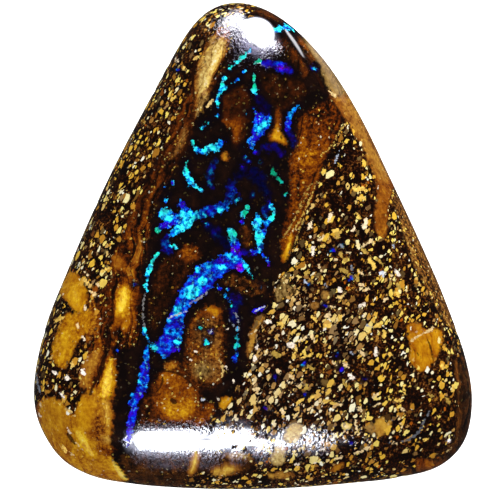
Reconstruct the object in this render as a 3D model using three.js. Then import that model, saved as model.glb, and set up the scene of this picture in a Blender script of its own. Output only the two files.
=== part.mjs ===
// A polished boulder opal: one freeform cabochon, cut as a rounded triangle from ironstone that is seamed with opal.
// It lies on its flat ground back. Millimetres, +Z up out of the polished face, +Y towards the narrow end.
// The origin is on the back face, under the middle of the stone's box.
import * as THREE from "three";

// Heights of the cross-section.
const GIRDLE_HEIGHT = 2.0; // the widest level, where the dome's shoulder meets the underside
const SHOULDER_RISE = 3.1; // from the girdle up to the rim of the gently crowned face
const CROWN_RISE = 0.9; // the last, gentle rise to the middle of the face

// Widths of the cross-section, measured from the girdle towards the middle of the stone.
const SHOULDER_WIDTH = 5.2; // how far the shoulder rolls over before the face begins
const UNDERSIDE_INSET = 1.1; // how far the rounded underside pulls in before the flat back
const SHOULDER_POWER = 1.3; // above 1 the shoulder fades into the face without a crease

// The point that the rings shrink towards.
const MIDDLE = new THREE.Vector2(0, -3);

// How finely the surface is faceted.
const SEGMENTS = 120;
const SHOULDER_RINGS = 8;
const FACE_RINGS = 4;
const UNDERSIDE_RINGS = 4;
const OUTLINE_SAMPLES = 2400; // fine steps along the outline, from which the even angles are read

// The girdle's outline, anticlockwise from the middle of the right side. The sides bow a little and the narrow end
// leans left, with a blunter shoulder on its right.
const OUTLINE = [
  [12.8, -3.6],
  [11.07, 0.4],
  [9.2, 4.4],
  [7.27, 8.4],
  [5.47, 11.4],
  [3.87, 13.4],
  [2.1, 15.0],
  [0.5, 15.88],
  [-1.15, 16.2],
  [-2.55, 15.87],
  [-3.72, 15.0],
  [-4.87, 13.4],
  [-6.53, 10.4],
  [-9.67, 4.4],
  [-12.33, -1.6],
  [-13.87, -5.6],
  [-14.6, -9.4],
  [-14.3, -11.7],
  [-12.85, -14.1],
  [-10.9, -15.28],
  [-8.2, -15.85],
  [-3.5, -16.2],
  [1.5, -16.2],
  [6.0, -15.88],
  [10.0, -15.4],
  [12.5, -14.65],
  [14.05, -13.1],
  [14.6, -10.7],
  [14.3, -8.0],
];

// The outline as a smooth closed curve, shifted so that its box is centred on the origin.
function outlineCurve() {
  const points = OUTLINE.map(([x, y]) => new THREE.Vector3(x, y, 0));
  const curve = new THREE.CatmullRomCurve3(points, true, "centripetal");
  const samples = curve.getPoints(OUTLINE_SAMPLES);
  const centre = new THREE.Box3().setFromPoints(samples).getCenter(new THREE.Vector3());
  return samples.map((p) => p.sub(centre));
}

// The girdle's distance from MIDDLE at SEGMENTS even angles.
function girdleRadii() {
  const polar = outlineCurve()
    .slice(0, -1)
    .map((p) => {
      const x = p.x - MIDDLE.x;
      const y = p.y - MIDDLE.y;
      const angle = THREE.MathUtils.euclideanModulo(Math.atan2(y, x), 2 * Math.PI);
      return { angle, radius: Math.hypot(x, y) };
    })
    .sort((a, b) => a.angle - b.angle);
  return Array.from({ length: SEGMENTS }, (_, i) => {
    const angle = (2 * Math.PI * i) / SEGMENTS;
    const next = polar.findIndex((p) => p.angle >= angle);
    const after = polar[next];
    const before = polar[(next + polar.length - 1) % polar.length];
    const gap = THREE.MathUtils.euclideanModulo(after.angle - before.angle, 2 * Math.PI);
    const share = THREE.MathUtils.euclideanModulo(angle - before.angle, 2 * Math.PI) / gap;
    return THREE.MathUtils.lerp(before.radius, after.radius, share);
  });
}

// The surface as rings, from the back upwards. A ring gives, for a girdle radius, how far in it lies and how high.
function profileRings() {
  const rings = [];
  for (let i = 0; i <= UNDERSIDE_RINGS; i++) {
    const turn = (Math.PI / 2) * (1 - i / UNDERSIDE_RINGS);
    const inset = UNDERSIDE_INSET * (1 - Math.cos(turn));
    rings.push(() => ({ inset, height: GIRDLE_HEIGHT * (1 - Math.sin(turn)) }));
  }
  const crown = (inset, radius) => CROWN_RISE * (1 - (1 - inset / radius) ** 2);
  for (let i = 1; i <= SHOULDER_RINGS; i++) {
    const turn = (Math.PI / 2) * (i / SHOULDER_RINGS);
    const inset = SHOULDER_WIDTH * (1 - Math.max(Math.cos(turn), 0) ** (1 / SHOULDER_POWER));
    const rise = SHOULDER_RISE * Math.sin(turn);
    rings.push((radius) => ({ inset, height: GIRDLE_HEIGHT + rise + crown(inset, radius) }));
  }
  for (let i = 1; i < FACE_RINGS; i++) {
    rings.push((radius) => {
      const inset = THREE.MathUtils.lerp(SHOULDER_WIDTH, radius, i / FACE_RINGS);
      return { inset, height: GIRDLE_HEIGHT + SHOULDER_RISE + crown(inset, radius) };
    });
  }
  return rings;
}

// The closed surface: rings joined by quads, with a point at the middle of the back and of the face.
function stoneGeometry() {
  const radii = girdleRadii();
  const rings = profileRings();
  const vertices = [];
  rings.forEach((ring) => {
    radii.forEach((radius, i) => {
      const { inset, height } = ring(radius);
      const angle = (2 * Math.PI * i) / SEGMENTS;
      const reach = radius - inset;
      vertices.push(MIDDLE.x + reach * Math.cos(angle), MIDDLE.y + reach * Math.sin(angle), height);
    });
  });
  const backCentre = vertices.length / 3;
  vertices.push(MIDDLE.x, MIDDLE.y, 0);
  const faceCentre = backCentre + 1;
  vertices.push(MIDDLE.x, MIDDLE.y, GIRDLE_HEIGHT + SHOULDER_RISE + CROWN_RISE);

  const triangles = [];
  const topRing = (rings.length - 1) * SEGMENTS;
  for (let i = 0; i < SEGMENTS; i++) {
    const j = (i + 1) % SEGMENTS;
    triangles.push(backCentre, j, i);
    for (let low = 0; low < topRing; low += SEGMENTS) {
      const high = low + SEGMENTS;
      triangles.push(low + i, low + j, high + j);
      triangles.push(low + i, high + j, high + i);
    }
    triangles.push(topRing + i, topRing + j, faceCentre);
  }
  const geometry = new THREE.BufferGeometry();
  geometry.setAttribute("position", new THREE.Float32BufferAttribute(vertices, 3));
  geometry.setIndex(triangles);
  geometry.computeVertexNormals();
  return geometry;
}

const ironstone = new THREE.MeshStandardMaterial({ color: 0x4a2c0c, roughness: 0.15, metalness: 0 });
const stone = new THREE.Mesh(stoneGeometry(), ironstone);
stone.name = "boulder_opal";

const part = new THREE.Group();
part.add(stone);

export default part;
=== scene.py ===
# A polished boulder opal: blue opal seams in brown ironstone, cut as one freeform cabochon with a ground
# back. The scene is in metres, +Z up out of the polished face. The stone is drawn in millimetres, and its
# pattern in the photograph's pixels, which onto_photo() ties to the stone.
from math import cos, pi, radians, sin

import bpy
import numpy as np
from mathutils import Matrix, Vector


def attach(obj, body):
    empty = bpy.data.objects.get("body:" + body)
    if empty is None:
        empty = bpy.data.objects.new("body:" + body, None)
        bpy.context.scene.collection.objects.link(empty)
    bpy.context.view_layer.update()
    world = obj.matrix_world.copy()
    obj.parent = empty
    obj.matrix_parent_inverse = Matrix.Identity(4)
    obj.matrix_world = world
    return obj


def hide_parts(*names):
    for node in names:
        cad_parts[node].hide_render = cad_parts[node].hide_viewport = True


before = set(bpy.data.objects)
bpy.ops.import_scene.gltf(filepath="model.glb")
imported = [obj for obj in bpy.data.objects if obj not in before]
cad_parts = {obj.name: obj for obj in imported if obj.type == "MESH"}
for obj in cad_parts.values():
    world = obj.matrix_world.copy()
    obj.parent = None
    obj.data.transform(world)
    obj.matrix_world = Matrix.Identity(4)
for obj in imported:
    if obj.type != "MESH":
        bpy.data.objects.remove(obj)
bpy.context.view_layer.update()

MM = 0.001
CAD_NODE = "boulder_opal"

# The cross-section, in millimetres, as in the solid that the stone replaces.
GIRDLE_HEIGHT = 2.0
SHOULDER_RISE = 3.1
CROWN_RISE = 0.9
SHOULDER_WIDTH = 5.2
SHOULDER_POWER = 1.3
UNDERSIDE_INSET = 1.1
MIDDLE = (0.0, -3.0)

# The photograph: where the stone's origin is in it, in pixels, and its scale at the girdle.
PHOTO_SIZE = 500
PHOTO_ORIGIN = (253, 246)
PIXELS_PER_MM = 15.0
LENS_MM = 500.0
SENSOR_MM = 36.0
FIELD_MM = PHOTO_SIZE / PIXELS_PER_MM
CAMERA_HEIGHT = GIRDLE_HEIGHT + FIELD_MM * LENS_MM / SENSOR_MM
CAMERA_X = (PHOTO_SIZE / 2 - PHOTO_ORIGIN[0]) / PIXELS_PER_MM
CAMERA_Y = (PHOTO_ORIGIN[1] - PHOTO_SIZE / 2) / PIXELS_PER_MM

# The lamps, the mirrored panels and the table, in millimetres.
LIGHT_DISTANCE = 300
PANEL_GAP = 12
TABLE_HALF = 600
TABLE_LEVEL = -0.02

# How brightly a white surface on the face shows, which turns a colour of the photograph into an albedo. The
# opal's share is lower, because its bead pattern takes some of the light away again.
FACE_LIGHT = 1.9
OPAL_LIGHT = 1.45

# How finely the stone is meshed. The face's columns, from -1 on the left to 1 on the right, are closer
# together round the opal: the middle of that zone, its half width and how much denser it is.
COLUMNS = 270
COLUMN_FOCUS = (-0.2, 0.42, 0.8)
ROWS = 290
WALL_RINGS = 14
BACK_RINGS = 10
GIRDLE_WAVES = 40

# The unevenness that hand polishing leaves: waves with their radians per millimetre in X and Y, their start
# in radians and their height in millimetres.
POLISHING_WAVES = [
    (1.31, 0.42, 0.3, 0.005), (0.55, 1.17, 1.9, 0.005), (-0.83, 0.74, 4.1, 0.004), (1.9, -1.5, 2.2, 0.0012),
    (-1.3, 2.4, 5.5, 0.001),
]

# Painting, in pixels: the depth of what lies far outside every outline, how far round an outline its depth
# is worked out, how far a newer clay takes to cover an older one, and how far the noises push the edges
# about.
FAR_OUTSIDE = -30.0
PAINT_MARGIN = 32
CLAY_BLEND = 8.0
ROUGH_PUSH = 16.0
FINE_PUSH = 5.0

# The clay's tones run from 0 to the first of these, and the opal's fires from 0 to the second.
LAST_TONE = 8.0
LAST_FIRE = 5.0

# The gravel's grains: how far their long side leans, in degrees, and their three sizes. Each size has its
# spacing in millimetres, the share of places that hold a grain, the gap between grains and an offset of its
# own.
GRAIN_LEAN = -58
GRAIN_SIZES = [
    (0.2, 0.24, 0.06, (2.0, 6.0, 3.0)), (0.31, 0.36, 0.05, (0.0, 0.0, 0.0)),
    (0.44, 0.25, 0.04, (8.0, 3.0, 5.0)),
]

# Opal seams. Each has its glow, from 0 for unlit to 1 for full colour, and its corners, which are (x, y,
# half width, fire). Fire is the colour: 0 teal, 1 cyan, 2 azure, 3 blue, 4 violet, 5 magenta.
SEAMS = {
    "tip rim": (1.0, [(274, 31, 2.6, 1), (279, 29, 3.2, 1.2), (286, 26.5, 2.4, 1.3), (294, 30, 1.2, 2)]),
    "upper left stroke": (1.0, [
        (251, 48, 1.4, 1.1), (248, 52, 2.2, 0.8), (244, 57, 2.6, 0.6), (238, 62, 1.8, 0.7), (229, 69, 1, 1),
    ]),
    "upper left bead": (1.0, [(224, 77, 1.6, 1), (222, 82, 2.2, 0.8)]),
    "long stroke": (1.0, [
        (247, 69, 1.5, 1.8), (241, 76, 0.9, 2), (235, 81, 0.9, 1.6), (229, 85, 1.4, 1.2), (224, 88, 2, 1),
        (219, 92, 3.1, 1), (217, 99, 1.8, 1.6), (217.5, 108, 1, 1), (218, 116, 0.5, 1.5),
    ]),
    "teal bead": (0.8, [(255, 63, 2, 0.2), (259, 61, 3, 0.2)]),
    "drop": (0.95, [(255, 73, 0.9, 0.3), (255, 83, 0.9, 0.3), (255, 87, 2.2, 0.4), (254.7, 91, 3.9, 0.7)]),
    "navy haze": (0.15, [(259, 99, 3, 3.2), (263, 104, 5, 3.2), (265, 109, 5, 3)]),
    "hook": (0.85, [
        (298, 106, 1.3, 1.2), (294, 110, 2.4, 1.2), (290, 116, 3.6, 2.2), (287, 123, 3.6, 3),
        (287.5, 129, 3, 3.2),
    ]),
    "hook's tail": (0.35, [
        (287.5, 129, 2.6, 3), (290, 135, 2.6, 3), (292.5, 141, 2, 3), (293.5, 147, 1, 3),
    ]),
    "dash": (1.0, [(209, 121, 1, 0.9), (206, 124, 1.5, 0.7), (202.5, 127.5, 2, 0.9)]),
    "seam A": (1.0, [
        (194.5, 149, 2.4, 1), (200, 152, 3.6, 1.7), (205, 152, 3.6, 1.3), (210, 148, 4.2, 1),
        (217, 146.5, 4.6, 1), (221, 143, 3.4, 1.4), (225.5, 141, 1.8, 2.7),
    ]),
    "seam A's spur": (0.95, [(193, 141, 0.9, 0.6), (194.5, 148, 1.8, 1), (197.5, 156, 1, 0.9)]),
    "crescent B": (0.95, [
        (187.7, 161, 1.1, 0.8), (185.3, 167, 2.2, 0.9), (186, 175, 3.4, 1.2), (191.5, 182, 2.9, 1.5),
        (196.5, 187, 2.2, 1), (202, 191.5, 0.8, 0.9),
    ]),
    "crescent C": (0.38, [
        (216, 160, 1.2, 2.4), (212, 169, 2.4, 2.8), (208.5, 177, 2.6, 2), (210, 183, 2, 2.4),
        (211.6, 188, 1, 2.6),
    ]),
    "ramp": (0.6, [
        (194, 216, 5, 1.8), (202, 213.5, 5, 2.3), (209, 210, 5.6, 2.4), (218, 209, 5.4, 2.2),
        (226, 204.5, 3.6, 1.5), (230, 202, 2, 2),
    ]),
    "dim branch": (0.4, [(227, 201, 3, 2.4), (232, 193, 4.5, 2.5), (231, 184, 3, 2.8)]),
    "west end": (0.9, [(158, 230, 3.6, 0.2), (164, 226, 3, 3), (170, 222, 5.5, 3), (178, 220, 6, 2)]),
    "lower band": (1.0, [(169, 236, 2.6, 1.2), (175, 231, 4, 1.2), (181, 227, 4.6, 1), (188, 224, 5, 1)]),
    "neck": (0.45, [(167, 236, 2.5, 2.4), (164.5, 242, 3.4, 2.6), (166, 249, 4, 3), (170, 250, 3, 3)]),
    "neck dash": (1.0, [(168.5, 245.5, 1, 1.2), (175.5, 247.3, 1.7, 1)]),
    "west thin seam": (1.0, [
        (157, 254.5, 2.3, 0.8), (153.4, 261, 2.2, 0.9), (150, 267.5, 2.6, 1), (147.7, 274, 2, 1.2),
        (146.6, 281, 1.7, 1.1), (145.8, 289.5, 1.2, 1.2),
    ]),
    "west link": (0.9, [
        (143.8, 325, 1, 1.8), (145, 333, 1.7, 1.4), (148, 341, 1.9, 1.2), (152, 346, 2.2, 0.8),
        (155, 349, 3, 0.7),
    ]),
    "lower west vein": (0.85, [
        (146.8, 345, 1.6, 1.6), (147.2, 352, 3, 2.2), (146.6, 361, 3.8, 2.5), (144, 371, 5, 2.4),
        (143.8, 383, 5.4, 2.2), (140, 392, 4.6, 2.8), (134.5, 399, 4.8, 2.6), (133.6, 409, 4.4, 2.9),
        (132.3, 419, 4.4, 3), (130.5, 429, 3.8, 3.4), (128.6, 437, 3, 3), (127.5, 445, 2, 2.2),
    ]),
    "middle column": (0.9, [
        (231, 231, 4, 0.7), (234, 239, 4.6, 0.5), (235.5, 246, 5, 3.6), (236.5, 253, 5.5, 4),
        (237, 259, 6.5, 2.4),
    ]),
    "middle column's foot": (0.9, [
        (240, 265, 4.5, 4.6), (245.3, 267, 2.5, 0.9), (249, 272.5, 2, 1.2), (252.5, 277, 1, 1),
    ]),
    "left arm": (0.95, [
        (257.5, 217.5, 3.6, 1), (257, 226, 4.4, 1.2), (259, 235, 4, 1.2), (260.5, 243, 4.2, 1.6),
        (261, 250, 3.6, 1.6), (252, 253, 3, 2.7),
    ]),
    "right arm": (0.95, [
        (268, 204, 1.8, 2.6), (273, 208, 2.8, 1.3), (275, 214, 2.6, 0.9), (269.5, 219, 2.6, 0.9),
        (266, 227, 2.8, 2.2), (263, 236, 3, 1.6),
    ]),
    "right arm's shadow": (0.4, [(268, 203, 1.5, 3), (266, 210, 3, 3), (266, 216, 2.5, 2.8)]),
    "arms' tail": (0.9, [(262, 253, 1.4, 2.8), (266.8, 259, 1.9, 1.4), (268.5, 266, 1.2, 4)]),
    "dim link": (0.35, [(247, 253, 2.5, 3), (242, 251, 2.5, 3.4)]),
    "thin branch": (1.0, [
        (213, 277, 1, 1.6), (217.5, 285, 1, 1.4), (221.5, 291, 1.2, 3.8), (225, 294, 1.8, 1),
        (229, 300, 1.2, 1.6), (231.5, 304.5, 1.8, 0.5), (232.5, 309, 1.4, 0.7),
    ]),
    "thin branch's knot": (0.28, [
        (233, 296, 3.4, 3), (239, 300, 3.4, 3), (232, 312, 3, 3), (235, 320, 3.6, 2.9),
    ]),
    "thin branch's foot": (0.8, [
        (238, 325, 1.4, 2), (237.5, 333, 1.7, 1.4), (237.4, 341, 2, 0.8), (236.4, 349, 2.1, 1.6),
        (235, 357, 2.4, 2.1), (235.5, 366, 1.1, 2.6),
    ]),
    "violet dash": (0.8, [(254.5, 311, 2.2, 3.2), (260, 308.6, 1.8, 3.2), (266.5, 306, 2, 3.3)]),
    "curl": (0.75, [
        (276, 166, 1.2, 0), (272, 170, 3, 0), (275, 173.5, 2.6, 0), (278, 177, 1.3, 0.1), (281, 182, 1, 0),
    ]),
    "smoke": (0.13, [
        (237, 176, 3, 3), (246, 170, 5, 3.1), (256, 174, 6, 3), (262, 184, 5, 2.9), (268, 194, 3, 3),
    ]),
    "smoke below": (0.12, [(207, 226, 3, 2.7), (216, 232, 5, 2.8), (223, 240, 4, 3), (228, 248, 3, 3.2)]),
    "violet eye": (0.3, [
        (264, 148.5, 2.5, 3.6), (272, 147, 2.8, 3.2), (279, 150, 3, 3.8), (281, 155, 2, 3.6),
    ]),
}

# Opal patches: glow, fire and the corners of an outline, (x, y).
PATCHES = {
    "lens": (0.5, 3.2, [
        (261, 60), (269, 59.5), (276, 60.5), (283.5, 63), (291, 67.5), (295, 72.5), (288.5, 74),
        (279, 71.2), (270, 68), (262, 65.5),
    ]),
    "blue shape": (0.85, 2.4, [
        (254.5, 114), (259, 111), (266, 113.5), (272, 118), (270.5, 125.5), (266, 132.5), (259.5, 139),
        (254, 146.5), (249.5, 148), (247, 143.5), (249, 137.5), (251.5, 131), (252.5, 121.5),
    ]),
    "diagonal vein": (0.8, 2.4, [
        (218, 257), (226, 254), (232, 252), (242, 256), (246, 267), (240, 270.5), (228, 269),
        (218.5, 278.5), (212, 288), (199, 299.5), (190, 305.5), (186.5, 315), (183.5, 326), (181.8, 339),
        (180, 350), (171, 355), (166, 360), (158, 353.5), (152.5, 348.5), (157, 340), (163, 331),
        (171, 308.5), (182, 286), (195, 268.5),
    ]),
}

# Brighter or differently coloured spots inside the opal: x, y, radius, fire, glow.
SPARKS = [
    (166.3, 215, 7.6, 0.9, 1.0), (184, 216, 6.5, 0.95, 1.0), (189, 214.5, 6, 1.1, 1.0),
    (181, 204.5, 4.2, 3, 0.8), (186, 209, 3, 2.2, 0.9), (168, 225, 4, 3.1, 0.9),
    (220.5, 211.5, 3.4, 1.1, 1.0), (228, 207.5, 2.6, 1.0, 1.0), (206.5, 224, 2.4, 0.9, 0.95),
    (196.5, 212, 2.2, 1.0, 1.0), (235.8, 190.5, 3.2, 2.3, 0.85), (237.4, 200.2, 2.3, 0.9, 0.9),
    (248, 206.5, 3, 0.6, 0.85), (253, 195, 1.6, 1.2, 0.7), (244.3, 213.5, 3, 0.2, 0.8),
    (241.2, 221.5, 2.6, 3.8, 0.8), (191.5, 292, 7.5, 1.0, 1.0), (202.5, 281.5, 5, 1.1, 1.0),
    (197.3, 269.5, 3, 1.1, 0.95), (210, 265.5, 3.6, 1.2, 0.95), (223, 268, 4, 1.6, 1.0),
    (235, 260, 4, 1.4, 1.0), (178, 310, 4.4, 1.1, 0.95), (183, 303.5, 3.6, 1.4, 0.95),
    (154.6, 348.2, 3.6, 0.5, 1.0), (177.5, 342, 5, 1.6, 0.95), (240.3, 267.6, 4.2, 5, 1.1),
    (245, 266.3, 2.6, 0.8, 1.0), (258.4, 128.2, 5, 1.0, 1.0), (259.4, 119.5, 3.4, 3.7, 1.0),
    (266, 122, 4, 1.8, 0.95), (280.5, 66.8, 4, 3.7, 0.95), (254.7, 90.5, 3, 0.7, 1.0),
    (314.6, 67.8, 2.7, 0.9, 1.0), (270, 151.5, 0.9, 1, 0.9), (255, 152.8, 2, 3.2, 0.9),
    (246.4, 112.5, 1.3, 1.3, 0.9), (254.4, 109, 1.5, 0.6, 0.8), (243.6, 147, 1.7, 0.6, 0.8),
    (244.4, 158, 1.8, 0.5, 0.75), (241.9, 166, 2.5, 2.7, 0.8), (249, 161.5, 1.8, 2.6, 0.75),
    (260, 162, 2.1, 0.2, 0.7), (171.7, 183.3, 1.9, 3, 0.8), (164.6, 188.2, 1.3, 3, 0.6),
    (167.6, 196.2, 1.7, 0.9, 1.0), (165.2, 199.7, 1.9, 0.8, 1.0), (189.3, 187.5, 1.3, 0.8, 0.8),
    (286, 196, 1.6, 1.5, 0.9), (227.6, 290.4, 2, 0.8, 1.0), (224.8, 294, 2.2, 1, 1.0),
    (200.6, 328.3, 2.3, 0.3, 0.9), (206.8, 339.5, 2.4, 0.5, 0.95), (206.8, 342.5, 2.9, 0.6, 0.95),
    (210.3, 332, 1.9, 3.9, 0.6), (341, 369, 3, 3, 0.8), (304, 363, 2.1, 3.2, 0.8), (326, 307, 1.7, 3, 0.6),
    (350, 278, 1.9, 3.8, 0.7), (333.8, 250.6, 2.2, 3.8, 0.75), (337, 355, 1.9, 3.4, 0.5),
    (304, 394, 1.9, 2.8, 0.5), (275, 377, 1.8, 3, 0.45), (363.5, 379, 1.9, 3.6, 0.5),
    (266, 409, 1.8, 3.4, 0.6), (350, 442, 2.4, 3.4, 0.4), (307, 285.5, 1.5, 1.3, 0.75),
    (341.6, 245.6, 2.2, 1.2, 0.65), (261, 286, 1.2, 1, 0.4), (135.3, 284.3, 1.6, 3.4, 0.3),
    (116, 350.3, 1.3, 1.2, 0.8), (178.7, 70, 1.5, 3.8, 0.6), (219, 229, 2.5, 3, 0.25),
    (213.5, 233, 3.4, 2.8, 0.3), (325, 305.5, 1.5, 3, 0.6),
]

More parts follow.
